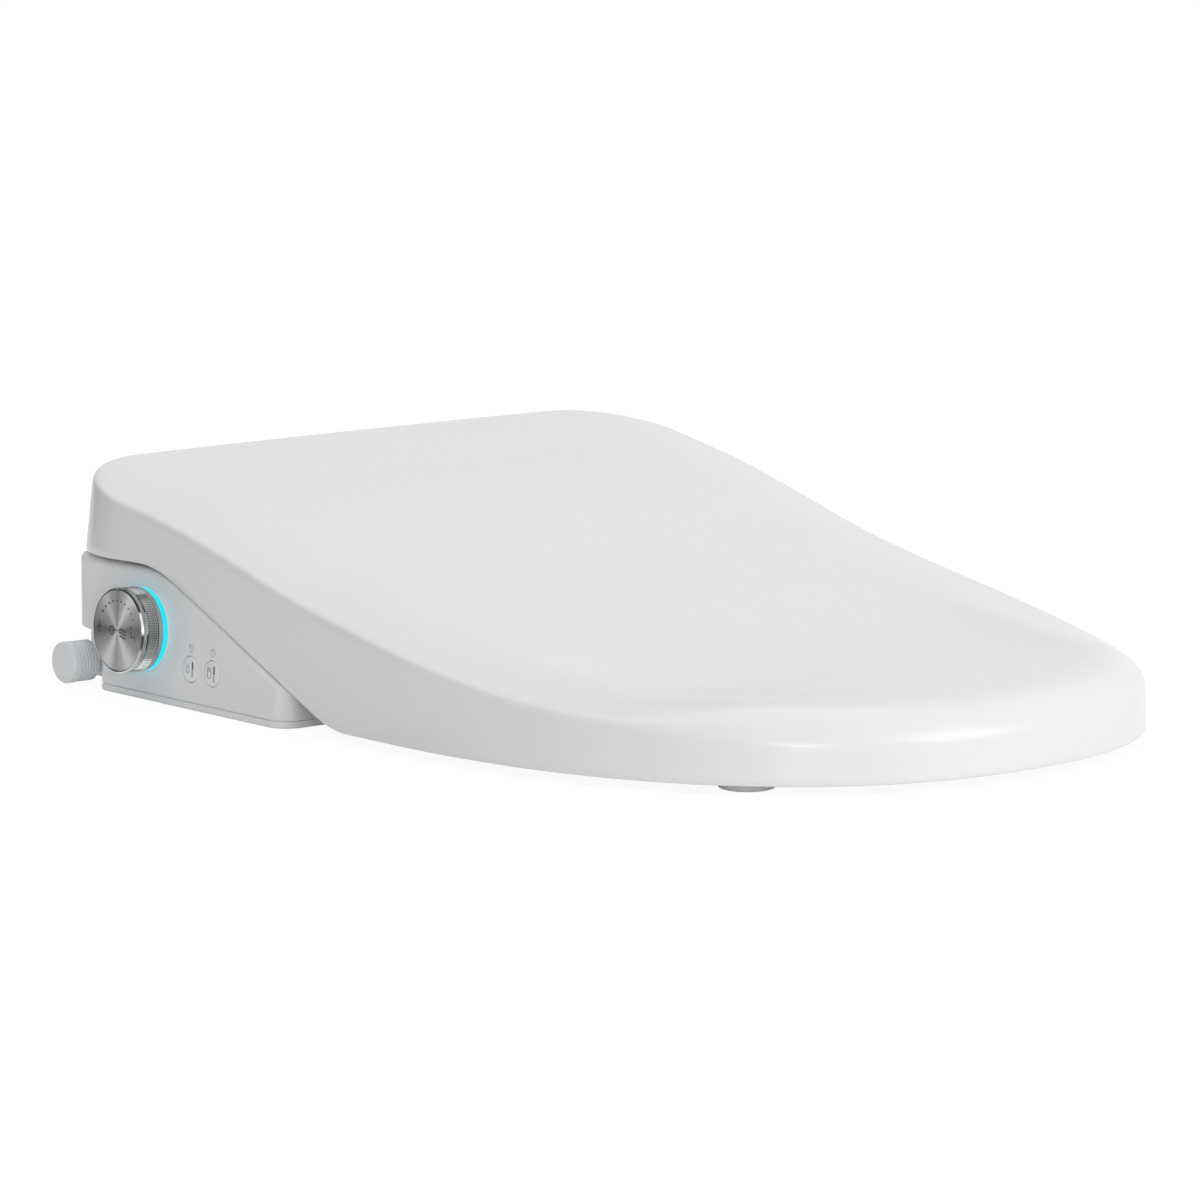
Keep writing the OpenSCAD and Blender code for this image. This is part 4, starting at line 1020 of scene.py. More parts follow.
@dataclass(frozen=True)
class Seat:
    """The seat ring: an upper shell over a lower tray, with hinge arms and rubber bumpers."""

    outer: Plan2D = Plan2D(
        rear_y=-121.0, nose_y=-463.0, rear_half=184.0, nose_half=183.0, corner_r=24.0, bow=0.0, counts=(
            14, 10, 32, 44
        )
    )
    hole_length: float = 232.0
    hole_width: float = 212.0
    hole_front: float = -398.0
    hole_power: float = 2.2
    floor_z: float = 8.0
    split: float = 6.0
    wall: float = 2.6
    top_line: tuple[Plan, ...] = ((0.34, 52), (0.42, 47), (0.55, 40), (0.7, 33.5), (0.85, 29), (1, 25))
    bumper_r: float = 14.0
    bumpers: tuple[Plan, ...] = ((115.0, -400.0), (150.0, -265.0))
    lid_length: float = 530.0
    lid_rear_y: float = 60.0
    finish: Finish = Moulded(
        # Polished white polypropylene: a little softer in its gloss than the lid.
        name="seat_moulded_gloss_polypropylene", colour="E6E6E6", roughness=0.34,
    )
    rubber: Finish = Matt(
        # Soft grey silicone bumper: dull, with a fine moulded grain.
        name="bumper_soft_silicone", colour="DCDDDE", roughness=0.62, grain_mm=0.7,
    )

    def top_z(self, y: float) -> float:
        """Height of the seat's top along its length."""
        return curve(self.top_line, max((self.lid_rear_y - y) / self.lid_length, 0.34))

    def low_z(self, y: float) -> float:
        """Height of its underside, which lifts at the rear."""
        return self.floor_z + 22 * smooth((y + 205) / 50)

    def hole_point(self, x: float, y: float) -> Plan:
        """Point of the opening's edge that faces a point of the rim."""
        middle = self.hole_front + self.hole_length * 0.56
        turn = math.atan2(y - middle, x * 1.25)
        c, s = math.cos(turn), math.sin(turn)
        reach = self.hole_length * (0.44 if s > 0 else 0.56)
        power = 2 / self.hole_power
        return (
            self.hole_width / 2 * math.copysign(abs(c) ** power, c),
            middle + reach * math.copysign(abs(s) ** power, s),
        )

    def across(self, k: int, inset: float, share: float = 0.0) -> Plan:
        """Point between rim and opening.

        Args:
            k: Station of the outline.
            inset: Distance from the rim, or from the opening where it is negative.
            share: Share of what is left of the width, from 0 at the inset of 22 mm
                to 1 at 24 mm from the opening.

        Returns:
            Its x and y.
        """
        px, py = self.outer.point(k, 0)
        hx, hy = self.hole_point(px, py)
        width = math.hypot(hx - px, hy - py)
        t = inset / width if inset >= 0 else 1 + inset / width
        if share:
            t = (22 + (width - 46) * share) / width
        return (px + (hx - px) * t, py + (hy - py) * t)

    def shell_rings(self) -> list[list[Vector]]:
        """Rings of the upper shell: up its face, over the top, into the opening and back inside."""
        outside = [
            (0, 0.0, 0), (0, 0.25, 0), (0, 0.5, 0), (0.5, 0.64, 0), (1.3, 0.73, 0), (2.5, 0.8, 0),
            (4.5, 0.875, 0),
            (9, 0.96, 0), (15, 0.99, 0), (22, 1.0, 0),
        ]
        crown = [(22, 1.0 - 0.07 * smooth(s), s) for s in (0.17, 0.34, 0.5, 0.66, 0.83, 1.0)]
        hole = [
            (-17, 0.875, 0), (-10, 0.8, 0), (-6, 0.715, 0), (-3, 0.6, 0), (-1, 0.49, 0), (-0.01, 0.35, 0),
            (-0.01, 0.0, 0)
        ]
        inside = [
            (-2.6, 0.0, 0), (-5.6, 0.6, 0), (-14, 0.8, 0), (-26, 0.93, 0), (22, 1.0, 0), (9, 0.96, 0),
            (4.1, 0.7, 0), (2.6, 0.0, 0),
        ]
        rings = []
        for part, drop in ((outside + crown + hole, 0.0), (inside, self.wall)):
            for inset, share_up, share in part:
                ring = []
                for k in range(2 * self.outer.half_count):
                    x, y = self.across(k, inset, share)
                    base = self.low_z(y) + self.split
                    lift = (self.top_z(y) - base) * share_up - (drop if share_up else 0.0)
                    ring.append(Vector((x, y, base + lift)) * MM)
                rings.append(ring)
        return rings

    def build(self) -> None:
        """Builds the seat's pieces."""
        rings = self.shell_rings()
        skin = RingSkin.started("seat_shell", rings[0])
        for ring in rings[1:] + rings[:1]:
            skin.grow(ring)
        shell = skin.close()
        shade(shell, 40)
        settle(shell, Body.SEAT, self.finish, "seat_top")
        refined("seat_bottom", Body.SEAT, self.finish, 0.6, 2, 40)
        refined("seat_hinge_arms", Body.SEAT, self.finish, 1.2, 3, 35)
        r = self.bumper_r
        profile = [
            (r - 1.8, 0), (r - 0.9, 0.25), (r - 0.3, 0.8), (r, 1.8), (r, 6.4), (r + 0.5, 7.4),
            (r + 0.5, 8)
        ]
        feet = [
            turned("seat_foot", profile, Matrix.Translation(Vector((side * x, y, 0)) * MM), 64)
            for x, y in self.bumpers for side in (-1, 1)
        ]
        settle(joined("seat_feet", feet), Body.SEAT, self.rubber, "seat_bumpers")


# ---------------------------------------------------------------- the unit's outside


@dataclass(frozen=True)
class Housing:
    """The unit's moulded covers and the button that frees it from its bracket."""

    button_y: float = 0.0
    button_z: float = 22.0
    button_r: float = 8.0
    half_width: float = 192.5
    edge_round: float = 3.2
    panel_x: float = 170.0
    """How far out the side panels begin."""
    panel_foot: float = 5.0
    panel_level: float = 60.0
    """Height past which an edge belongs to the level stretch of a panel's top."""
    slope_gap: float = 8.0
    """How far under the lid's slope a panel's top edge may lie."""
    rear_from: tuple[float, float] = (50.0, 27.0)
    """Y and height past which an edge belongs to the rear corner."""
    cover: Finish = Moulded(
        # Fine-satin white ABS: the spark-eroded mould leaves a soft even sheen.
        name="cover_moulded_satin_abs", colour="ECECED", roughness=0.42, peel_mm=0.9, peel_depth_mm=0.004,
    )
    base: Finish = Moulded(
        # The base tray is the same ABS, a touch duller.
        name="base_moulded_satin_abs", colour="ECEDEE", roughness=0.46, peel_mm=0.9, peel_depth_mm=0.004,
    )

    def on_top_edge(self, a: Vector, b: Vector) -> bool:
        """Whether an edge bounds a side panel: its top, or the rear corner."""
        rear_y, rear_z = self.rear_from

        def chosen(p: Vector) -> bool:
            slope = Lid.slope_rise * (p.y - Lid.slope_y) - self.slope_gap
            top = max(self.panel_foot, min(self.panel_level, slope))
            return abs(p.x) > self.panel_x and (p.z > rear_z and p.y > rear_y or p.z > top)

        return chosen(a) and chosen(b)

    def build(self) -> None:
        """Builds the covers and the release button."""
        refined("upper_housing", Body.UNIT, self.cover, 0.4, 2, 30, (self.edge_round, self.on_top_edge))
        refined("base_plate", Body.UNIT, self.base, 0.8, 3, 30)
        refined("splash_hood", Body.UNIT, self.cover, 0.5, 2, 30)
        refined("dryer_grille", Body.UNIT, self.cover, 0.3, 2, 30)
        r, tip = self.button_r, self.half_width + 0.6
        profile = [
            (r - 3, tip - 14.6), (r - 3, tip - 9.6), (r, tip - 9.6), (r, tip - 0.7), (r - 0.2, tip - 0.25),
            (r - 0.7, tip), (r - 2.2, tip - 0.05), (r - 4, tip - 0.35), (1.0, tip - 0.5),
        ]
        frame = axis_frame(Vector((0, self.button_y, self.button_z)) * MM, Vector((1, 0, 0)))
        settle(turned("release_cap", profile, frame, 72), Body.RELEASE, self.cover, "release_button")


@dataclass(frozen=True)
class Knob:
    """The control knob: a knurled ring with a bright lip, a spun marked face and a lit ring behind."""

    centre: Vector
    axis: Vector
    radius: float = 21.5
    reach: float = 17.3
    foot: float = 4.1
    lip: float = 0.7
    light_w: float = 2.0
    light_depth: float = 1.5
    collar: float = 1.2
    knurls: int = 96
    knurl_rows: int = 7
    knurl_depth: float = 0.42
    sleeve_r: float = 9.0
    dots: int = 10
    dot_radius: float = 15.0
    dot_arc: tuple[float, float] = (56.0, -63.0)
    light: Finish = Lit(
        # Opal acrylic lit from behind by cyan lamps.
        name="ring_lit_opal_acrylic", colour="0C5A62", roughness=0.3, strength=1.0,
    )
    ink: Finish = Matt(
        # Dark pad-printed ink: dull and slightly grainy.
        name="mark_pad_printed_ink", colour="242628", roughness=0.6, grain_mm=0.2, grain_depth_mm=0.004,
    )

    @property
    def frame(self) -> Matrix:
        """The panel's frame at the knob: X up, Y to the wall, Z out of the panel."""
        return axis_frame(self.centre, self.axis)

    @property
    def face_r(self) -> float:
        """Radius of the face."""
        return self.radius - self.lip - 0.3

    def turned_steel(
        self, name: str, colour: str, roughness: float, painted_fans: tuple[Plan, ...], knurls: int = 0
    ) -> Finish:
        """A steel turned round the knob's axis, with painted fans of highlight and shade and perhaps a
        painted knurl.
        """
        return SunrayMetal(
            name=name, colour=colour, roughness=roughness, centre=tuple(self.centre),
            axis=tuple(self.axis), painted_fans=painted_fans,
            knurls=knurls,
        )

    def build(self) -> None:
        """Builds the knob's pieces."""
        self.build_ring()
        self.build_face()
        self.build_light()
        self.build_marks()

    def build_ring(self) -> None:
        """Builds the ring: two polished bevels, a knurled band and a smooth rim at its foot."""
        r, top, bore = self.radius, self.reach, self.face_r + 0.3
        low, high = self.foot + 2.8, top - 4.3
        lip = [
            (r - 0.6, high), (r - 0.8, high + 0.2), (r - 0.4, high + 1.2), (r, high + 1.25), (r, top - 1.1),
            (r - 0.4, top - 1.05), (bore + 0.02, top - 0.5), (bore, top - 0.6), (bore, top - 2.4),
            (self.face_r - 1.5, top - 2.4), (self.face_r - 1.5, 7.0), (7.0, 7.0), (7.0, -11.8),
            (self.sleeve_r, -11.8), (self.sleeve_r, self.foot + 2.2), (r - self.light_w, self.foot + 2.2),
            (r - self.light_w, self.foot), (r - 0.3, self.foot), (r, self.foot + 0.3), (r, low - 0.2),
            (r - 0.5, low),
        ]
        # Fine-turned steel: a silvery band, with gentle fans of painted highlight and shade round it.
        steel = self.turned_steel("rim_turned_steel_painted_fans", "DCDEDF", 0.24, (
            (0, 0.9), (60, 0.72), (120, 0.66), (180, 0.8), (270, 0.8), (360, 0.9),
        ))
        piece = turned("knob_rim", lip, self.frame, 128, hollow=True)
        settle(piece, Body.KNOB_RING, steel, "knob_ring")
        bevels = (
            [(r, top - 1.1), (bore + 0.15, top - 0.08), (bore + 0.02, top - 0.25), (r - 0.25, top - 1.15)],
            [(r - 0.42, high + 0.08), (r, high + 1.25), (r - 0.25, high + 1.25), (r - 0.7, high + 0.08)],
        )
        # Polished steel: mirror-like bevels whose painted reflections go dark and bright by turns round the
        # axis.
        steel = self.turned_steel("lip_polished_steel_painted_reflections", "E9EAEB", 0.14, (
            (0, 0.12), (30, 0.03), (56, 0.05), (62, 0.98), (86, 0.95), (92, 0.05), (106, 0.08),
            (116, 0.6), (180, 0.75),
            (270, 0.8), (335, 0.6), (360, 0.12),
        ))
        lips = [turned("knob_bevel", bevel, self.frame, 128, hollow=True) for bevel in bevels]
        settle(joined("knob_lips", lips), Body.KNOB_RING, steel)
        deselect()
        bpy.ops.mesh.primitive_circle_add(
            vertices=self.knurls, radius=(r - 0.42) * MM, location=(0, 0, low * MM)
        )
        band = bpy.context.object
        band.name = "knob_knurl"
        bpy.ops.object.transform_apply(location=True)
        edit(band)
        step = (high - low) / self.knurl_rows
        turn = math.pi / self.knurls
        for _ in range(self.knurl_rows):
            bpy.ops.mesh.extrude_edges_move(TRANSFORM_OT_translate={"value": (0, 0, step * MM)})
            bpy.ops.transform.rotate(value=turn, orient_axis="Z", center_override=(0, 0, 0))
        bpy.ops.mesh.select_all(action="SELECT")
        bpy.ops.mesh.normals_make_consistent(inside=False)
        bpy.ops.mesh.poke(offset=self.knurl_depth * MM)
        bpy.ops.object.mode_set(mode="OBJECT")
        band.data.transform(self.frame)
        # Cross-knurled steel: painted glints and shade break the rolled points into fine dots, under painted
        # fans of highlight and shade.
        steel = self.turned_steel("ring_knurled_steel_painted_glints", "D6DAD8", 0.26, (
            (0, 0.95), (22, 0.95), (30, 0.3), (42, 0.6), (62, 0.35), (90, 0.28), (122, 0.4), (134, 0.95),
            (150, 0.95),
            (158, 0.3), (168, 0.7), (270, 0.8), (335, 0.7), (360, 0.95),
        ), 104)
        settle(band, Body.KNOB_RING, steel)

    def build_face(self) -> None:
        """Builds the spun face with its fine chamfer."""
        r, top = self.face_r, self.reach
        profile = [(r, top - 1.5), (r, top - 0.35), (r - 0.35, top), (0.6, top)]
        # Spun steel: fine rings round the centre, with painted fans of reflected light and shade.
        steel = self.turned_steel("face_spun_steel_painted_fans", "E6E6E6", 0.34, (
            (0, 0.32), (14, 0.5), (30, 0.8), (60, 0.42), (85, 0.2), (110, 0.34), (148, 0.75), (165, 0.5),
            (180, 0.4),
            (205, 0.72), (240, 0.34), (268, 0.16), (295, 0.34), (328, 0.62), (345, 0.42), (360, 0.32),
        ))
        settle(turned("knob_disc", profile, self.frame, 128), Body.KNOB_FACE, steel, "knob_face")

    def build_light(self) -> None:
        """Builds the lit ring that stands out of the panel behind the knob."""
        r, inner = self.radius, self.radius - self.light_w
        top, low = self.foot - 0.3, self.collar
        profile = [
            (r - 0.2, low), (r - 0.1, top - 0.3), (r - 0.3, top), (inner + 0.3, top), (inner, top - 0.3),
            (inner, low)
        ]
        settle(
            turned("knob_glow", profile, self.frame, 128, hollow=True), Body.UNIT, self.light,
            "light_ring"
        )
        foot = [
            (r, -self.light_depth), (r, low - 0.3), (r - 0.3, low), (inner, low),
            (inner, -self.light_depth)
        ]
        settle(turned("knob_collar", foot, self.frame, 128, hollow=True), Body.UNIT, Housing().cover)

    def build_marks(self) -> None:
        """Prints the arc of growing dots and the four small pictures on the face."""
        top = self.reach
        marks = []
        for n in range(self.dots):
            share = n / (self.dots - 1)
            turn = math.radians(self.dot_arc[0] + (self.dot_arc[1] - self.dot_arc[0]) * share)
            size = 0.66 - 0.2 * share
            at = Matrix.Translation(Vector((math.cos(turn), math.sin(turn), 0)) * self.dot_radius * MM)
            marks.append(turned("dot", [(size, top - 0.05), (size, top + 0.02)], self.frame @ at, 16))
        low, high, width = top - 0.05, top + 0.02, 0.6

        def line(x: float, y: float, path: Sequence[Plan], closed: bool = False) -> None:
            at = self.frame @ Matrix.Translation(Vector((x, y, 0)) * MM)
            marks.append(stroke("line", path, at, width, low, high, closed))

        # a nozzle with its jet
        line(0.4, 15.2, [(3.4, 0), (-1.4, 0)])
        line(0.4, 15.2, [(0.9, 0), (-1.0, 1.7)])
        line(0.4, 15.2, [(0.9, 0), (-1.0, -1.7)])
        line(0.4, 15.2, [(-2.4, 1.5), (-2.4, -1.5)])
        # a seat seen from above
        seat = [
            (1.8, -1.3), (1.8, 1.3), (0.8, 1.5), (-1.2, 1.4), (-2.1, 0.7), (-2.1, -0.7), (-1.2, -1.4),
            (0.8, -1.5)
        ]
        line(-0.4, 4.6, seat, True)
        # warm air in three waves
        for k in (-1, 0, 1):
            line(
                -0.9, -4.7,
                [(1.75 * k + 0.3 * math.sin(t * 0.9) - 0.1 * t, 2.8 - 0.8 * t) for t in range(8)]
            )
        # a seated figure
        line(-1.5, -13.4, [(2.4, 1.6), (-0.2, 1.2), (-0.5, -1.6), (-2.8, -1.8)])
        at = self.frame @ Matrix.Translation(Vector((2.6, -11.6, 0)) * MM)
        marks.append(turned("dot", [(0.6, low), (0.6, high)], at, 16))
        settle(joined("knob_marks", marks), Body.KNOB_FACE, self.ink)


@dataclass(frozen=True)
class Buttons:
    """The two temperature buttons with their lenses and printed pictures."""

    panel: Matrix
    knob_y: float = -26.5
    knob_z: float = 36.0
    first_y: float = -66.0
    pitch: float = 18.0
    z: float = 20.5
    lean: float = 3.0
    radius: float = 6.5
    lens_r: float = 2.15
    lens_rise: float = 10.4
    cap: Finish = Moulded(
        # Button caps of the same satin ABS as the cover.
        name="button_moulded_satin_abs", colour="ECEDEE", roughness=0.38, peel_mm=0.8,
    )
    lens: Finish = Moulded(
        # Small clear polycarbonate light pipes, greyish because nothing is lit behind them.
        name="lens_polycarbonate", colour="DCDFE1", roughness=0.2, ior=1.58,
    )
    ink: Finish = Matt(
        # Grey pad-printed ink on the caps.
        name="button_pad_printed_ink", colour="6C6F73", roughness=0.6, grain_mm=0.2, grain_depth_mm=0.004,
    )
    pale_ink: Finish = Matt(
        # Pale grey ink for the lower half of the gauge bars.
        name="button_pale_ink", colour="B4B8BC", roughness=0.6, grain_mm=0.2, grain_depth_mm=0.004,
    )

    def place(self, k: int, rise: float = 0.0) -> Matrix:
        """The panel's frame at a button, or at a height above it."""
        up = (self.z - self.knob_z) / math.cos(math.radians(self.lean)) + rise
        return self.panel @ Matrix.Translation(
            Vector((up, self.first_y - self.pitch * k - self.knob_y, 0)) * MM
        )

    def build(self) -> None:
        """Builds both buttons, their lenses and their pictures."""
        r = self.radius
        profile = [(2, -11.3), (2, -5.5), (r, -5.5), (r, -0.15), (r - 0.12, 0.08), (r - 0.4, 0.2), (0.5, 0.2)]
        for k, (body, node) in enumerate(
            ((Body.WATER_BUTTON, "water_temp_button"), (Body.SEAT_BUTTON, "seat_temp_button"))
        ):
            settle(turned(node + "_cap", profile, self.place(k), 72), body, self.cap, node)
            self.build_picture(k, body)
        lens_r = self.lens_r
        lens = [(lens_r, -5.0), (lens_r, -0.5), (lens_r - 0.45, -0.3), (lens_r - 0.5, 0.02), (0.3, 0.08)]
        lenses = [turned("lens", lens, self.place(k, self.lens_rise), 48) for k in (0, 1)]
        settle(joined("panel_lenses", lenses), Body.UNIT, self.lens, "indicator_lenses")

    def build_picture(self, k: int, body: Body) -> None:
        """Prints a button's picture: a drop or a seat, beside a gauge bar."""
        at, low, high, size = self.place(k), 0.16, 0.235, 1.3
        bar = [(3.0, -1.9), (3.0, -0.9), (-0.1, -0.9), (-0.1, -1.9)]
        dark = [plate("bar", [(x * size, y * size) for x, y in bar], at, low, high)]
        pale = plate("gauge_pale", [((x - 2.9) * size, y * size) for x, y in bar], at, low, high)
        if k == 0:
            lines = [[(1.6, 1.6)] + [
                (
                    -0.4 + math.cos(math.radians(a)), 1.6 + math.sin(math.radians(a))
                ) for a in range(50, 311, 20)
            ]]
        else:
            lines = [
                [(0.9, 0.6), (0.9, 2.6), (-0.9, 2.8), (-1.9, 2.3), (-1.9, 1.0), (-0.9, 0.5)],
                [(2.1, 0.5), (2.1, 2.7), (1.4, 2.7), (1.4, 0.5)],
            ]
        for path in lines:
            dark.append(stroke("outline", [(x * size, y * size) for x, y in path], at, 0.3, low, high, True))
        settle(joined(f"picture_{k + 1}", dark), body, self.ink)
        pale.name = f"gauge_{k + 1}"
        settle(pale, body, self.pale_ink)


@dataclass(frozen=True)
class WaterInlet:
    """The threaded inlet nipple at the rear left, with its push-in cap."""

    y: float = 33.0
    z: float = 11.8
    neck: tuple[float, float] = (160.0, 183.5)
    neck_r: float = 7.5
    crest_r: float = 10.4775
    groove_r: float = 9.85
    pitch: float = 1.8
    turns: int = 6
    bore_r: float = 6.0
    body: Finish = Moulded(
        # Bluish-white acetal: waxy, slightly see-through, with a soft sheen.
        name="inlet_acetal", colour="EBF1F4", roughness=0.36,
    )
    cap: Finish = Moulded(
        # White polyethylene cap.
        name="inlet_cap_polyethylene", colour="EEEFF0", roughness=0.4,
    )

    def build(self) -> None:
        """Builds the nipple and its cap."""
        frame = axis_frame(Vector((0, self.y, self.z)) * MM, Vector((-1, 0, 0)))
        start, end = self.neck
        profile = [(self.bore_r, start), (self.neck_r, start), (self.neck_r, end - 0.2)]
        for n in range(self.turns):
            at = end + n * self.pitch
            profile += [
                (self.groove_r, at), (self.crest_r - 0.25, at + 0.16), (self.crest_r, at + 0.4),
                (self.crest_r, at + 0.75),
                (self.crest_r - 0.25, at + 1.0), (self.groove_r, at + 1.15),
            ]
        tip = end + self.turns * self.pitch
        profile += [(self.groove_r, tip), (self.bore_r, tip)]
        settle(turned("inlet_thread", profile, frame, 80, hollow=True), Body.UNIT, self.body, "inlet_nipple")
        r = self.crest_r + 0.2
        cap = [
            (self.bore_r - 0.1, tip - 8), (self.bore_r - 0.1, tip + 0.2), (r - 0.3, tip + 0.2),
            (r, tip + 0.5), (r, tip + 4.2),
            (r - 0.15, tip + 4.6), (r - 0.5, tip + 4.9), (r - 1.0, tip + 5.0), (1.0, tip + 5.0),
        ]
        settle(turned("inlet_cap", cap, frame, 80), Body.INLET_PLUG, self.cap, "inlet_plug")


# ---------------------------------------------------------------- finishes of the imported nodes


INNER_FINISHES: dict[str, Finish] = {
    # Slots of the record, each with the finish of its real material.
    "lid_white": Lid().finish,
    "seat_white": Seat().finish,
    "housing_white": Housing().cover,
    "base_white": Housing().base,
    "button_white": Buttons(Matrix()).cap,
    "lens_clear": Buttons(Matrix()).lens,
    "inlet_white": WaterInlet().body,
    # Dark grey thermoplastic rubber feet, matt and dusty.
    "soft_grey_rubber": Matt("pad_thermoplastic_rubber", "8E9092", 0.7, grain_mm=0.6),
    # Spun and polished steels of the knob and the hinge pins.
    "spun_steel": Metal("knob_turned_steel", "C6C8C9", 0.3),
    "polished_steel": Metal("pin_ground_steel", "CDCFD1", 0.16, line_mm=0.5),
    # Zinc-plated pressed steel: soft grey with cloudy drawing lines.
    "zinc_steel": Metal("bracket_zinc_plated_steel", "B9BCC0", 0.38, line_mm=1.2),
    "light_cyan": Lit("ring_opal_acrylic", "0C5A62", 0.3, strength=1.0),
    # Green solder mask over woven glass laminate: the weave shows as a fine grain.
    "board_green": Matt("board_solder_mask", "1F6B45", 0.35, grain_mm=0.8, grain_depth_mm=0.02),
    # Glass-filled nylon, near black, with fibres just showing.
    "black_plastic": Matt("inner_glass_filled_nylon", "2A2B2D", 0.5, grain_mm=0.5),
    # Natural white polypropylene of the hidden mouldings.
    "inner_white": Moulded("inner_polypropylene", "DAD9D4", 0.45, peel_mm=1.2, peel_depth_mm=0.006),
    # Braided and plain hoses in grey EPDM.
    "hose_grey": Matt("hose_epdm_rubber", "6F7376", 0.6, grain_mm=0.7),
    # Polyimide heating foil: amber with a silky sheen.
    "heater_foil": Matt("foil_polyimide", "C98F45", 0.3, grain_mm=0.9, grain_depth_mm=0.008),
    # Drawn steel cans of motors and heating rods.
    "heater_metal": Metal("can_drawn_steel", "AEB1B4", 0.32, line_mm=0.6),
    # Acetal gears in natural cream.
    "gear_plastic": Moulded("gear_natural_acetal", "E2D9B8", 0.4, peel_mm=0.8),
}


def dress_nodes(nodes: dict[str, Object], record: dict[str, Any]) -> None:
    """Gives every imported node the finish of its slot.

    Args:
        nodes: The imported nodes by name.
        record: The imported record.
    """
    for part in record["subparts"]:
        finish = INNER_FINISHES[part["material_slot"]]
        node = nodes[part["node"]]
        material = finish.make()
        if not node.material_slots:
            node.data.materials.append(material)
        for slot in node.material_slots:
            slot.material = material
        LOG.info("node %s: %s", part["node"], finish.name)


# ---------------------------------------------------------------- studio


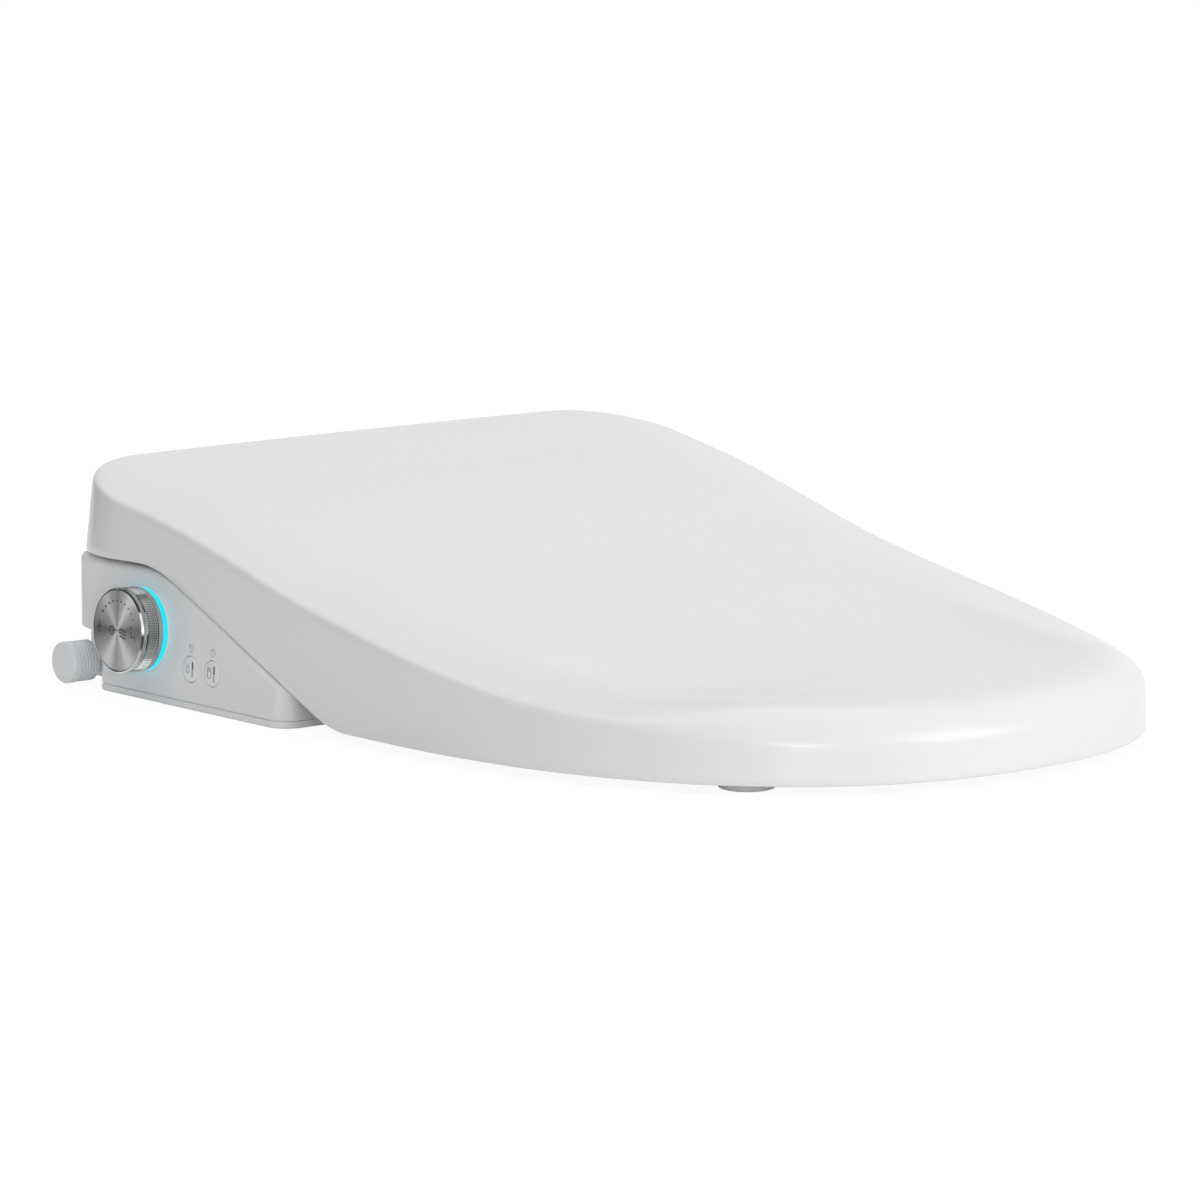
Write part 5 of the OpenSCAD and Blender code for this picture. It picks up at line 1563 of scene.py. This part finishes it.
@dataclass(frozen=True)
class Studio:
    """A pale floor and soft light from the front and above, before white."""

    floor_size_m: float = 24.0
    world_level: float = 0.58
    seen_share: float = 0.84
    seen_glow: float = 1.1
    key_power: float = 34.0
    fill_power: float = 12.0
    top_power: float = 16.0
    key_place: tuple[float, float, float] = (1.0, -3.1, 1.15)
    fill_place: tuple[float, float, float] = (-1.7, -2.6, 0.4)
    top_place: tuple[float, float, float] = (0.3, 0.2, 3.2)
    flag_place: tuple[float, float, float] = (-0.68, 0.95, 0.5)
    flag_width: float = 1.25

    def build(self) -> None:
        """Builds the world, the floor and the lamps."""
        self.build_world()
        self.build_floor()
        self.build_flag()
        self.add_lamp("key_light", Vector(self.key_place), self.key_power, 2.2)
        self.add_lamp("fill_light", Vector(self.fill_place), self.fill_power, 0.8)
        self.add_lamp("top_light", Vector(self.top_place), self.top_power, 2.6)

    def seen(self, tree: bpy.types.NodeTree) -> bpy.types.NodeSocket:
        """A socket that is 1 for what the camera, a gloss or a clear piece sees, and 0 for diffuse light."""
        path = add_node(tree, "ShaderNodeLightPath").outputs
        gloss = add_node(
            tree, "ShaderNodeMath", {
                "0": path["Is Camera Ray"], "1": path["Is Glossy Ray"]
            }, operation="MAXIMUM"
        )
        return add_node(
            tree, "ShaderNodeMath", {
                "0": gloss.outputs[0], "1": path["Is Transmission Ray"]
            }, operation="MAXIMUM"
        ).outputs[0]

    def build_world(self) -> None:
        """White where it is seen, pale grey as a light."""
        world = bpy.data.worlds.new("studio")
        bpy.context.scene.world = world
        world.use_nodes = True
        tree = world.node_tree
        level = add_node(
            tree, "ShaderNodeMapRange", {"Value": self.seen(tree), "To Min": self.world_level, "To Max": 1.0}
        )
        background = tree.nodes["Background"]
        background.inputs["Color"].default_value = (1, 1, 1, 1)
        tree.links.new(level.outputs["Result"], background.inputs["Strength"])

    def build_floor(self) -> None:
        """A pale matt floor that shows nearly white and keeps a faint shadow."""
        deselect()
        bpy.ops.mesh.primitive_plane_add(size=self.floor_size_m, location=(0, 0, -0.0004))
        floor = bpy.context.object
        floor.name = "floor"
        material = bpy.data.materials.new("floor_matt_white_paint")
        material.use_nodes = True
        tree = material.node_tree
        tree.nodes.clear()
        paint = add_node(tree, "ShaderNodeBsdfDiffuse", {"Color": srgb("EDEDED")})
        glow = add_node(tree, "ShaderNodeEmission", {"Color": (1, 1, 1, 1), "Strength": self.seen_glow})
        share = add_node(
            tree, "ShaderNodeMath", {"0": self.seen(tree), "1": self.seen_share}, operation="MULTIPLY"
        )
        mixed = add_node(
            tree, "ShaderNodeMixShader", {"0": share.outputs[0], "1": paint.outputs[0], "2": glow.outputs[0]}
        )
        add_node(tree, "ShaderNodeOutputMaterial", {"Surface": mixed.outputs[0]})
        floor.data.materials.append(material)

    def build_flag(self) -> None:
        """A dark card that draws the rear left corner's edge.

        It is out of the front picture, but hides the object from behind on the left.
        """
        deselect()
        bpy.ops.mesh.primitive_plane_add(
            size=1.0, location=self.flag_place, rotation=(math.radians(90), 0, 0)
        )
        flag = bpy.context.object
        flag.name = "flag"
        flag.scale = (self.flag_width, 1.0, 1.0)
        # Charcoal velvet: it gives back little light.
        flag.data.materials.append(Matt("flag_charcoal_velvet", "404040", 0.9, grain_mm=3.0).make())

    def add_lamp(self, name: str, place: Vector, power: float, size: float) -> None:
        """Adds a large soft lamp that faces the object."""
        lamp = bpy.data.lights.new(name, "AREA")
        lamp.energy = power
        lamp.shape = "DISK"
        lamp.size = size
        holder = bpy.data.objects.new(name, lamp)
        bpy.context.scene.collection.objects.link(holder)
        aim = Vector((0, -0.18, 0.05)) - place
        holder.matrix_world = Matrix.Translation(place) @ aim.to_track_quat("-Z", "Y").to_matrix().to_4x4()


@dataclass(frozen=True)
class Viewpoint:
    """A long-lens camera from the front left, a little above."""

    azimuth: float = -39.85
    elevation: float = 9.05
    distance: float = 3.2
    aim: tuple[float, float, float] = (0.0, -0.18, 0.05)
    across_m: float = 0.0159
    up_m: float = -0.0001
    lens: float = 190.75

    def build(self) -> None:
        """Adds the camera and makes it the scene's."""
        a, e = math.radians(self.azimuth), math.radians(self.elevation)
        right = Vector((math.cos(a), math.sin(a), 0))
        up = Vector((-math.sin(a) * math.sin(e), math.cos(a) * math.sin(e), math.cos(e)))
        back = right.cross(up)
        camera = bpy.data.cameras.new("camera")
        camera.lens = self.lens
        camera.sensor_width = 36.0
        holder = bpy.data.objects.new("camera", camera)
        bpy.context.scene.collection.objects.link(holder)
        turn = Matrix((right, up, back)).transposed().to_4x4()
        place = Vector(self.aim) - right * self.across_m + up * self.up_m + back * self.distance
        holder.matrix_world = Matrix.Translation(place) @ turn
        bpy.context.scene.camera = holder


def main() -> None:
    """Builds the dressed seat, its studio and its camera."""
    logging.basicConfig(level=logging.INFO, format="%(message)s")
    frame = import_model()
    joints = {joint["name"]: joint for joint in frame["joints"]}
    bpy.context.scene.view_settings.view_transform = "Standard"
    Viewpoint().build()
    Studio().build()
    dress_nodes(frame["nodes"], frame["record"])
    Lid().build()
    refined("lid_hinge_lugs", Body.LID, Lid().finish, 0.8, 3, 35)
    Seat().build()
    Housing().build()
    turn = joints["knob_turn"]
    knob = Knob(Vector(turn["pos_m"]), Vector(turn["axis"]))
    knob.build()
    Buttons(knob.frame).build()
    WaterInlet().build()


if __name__ == "__main__":
    main()
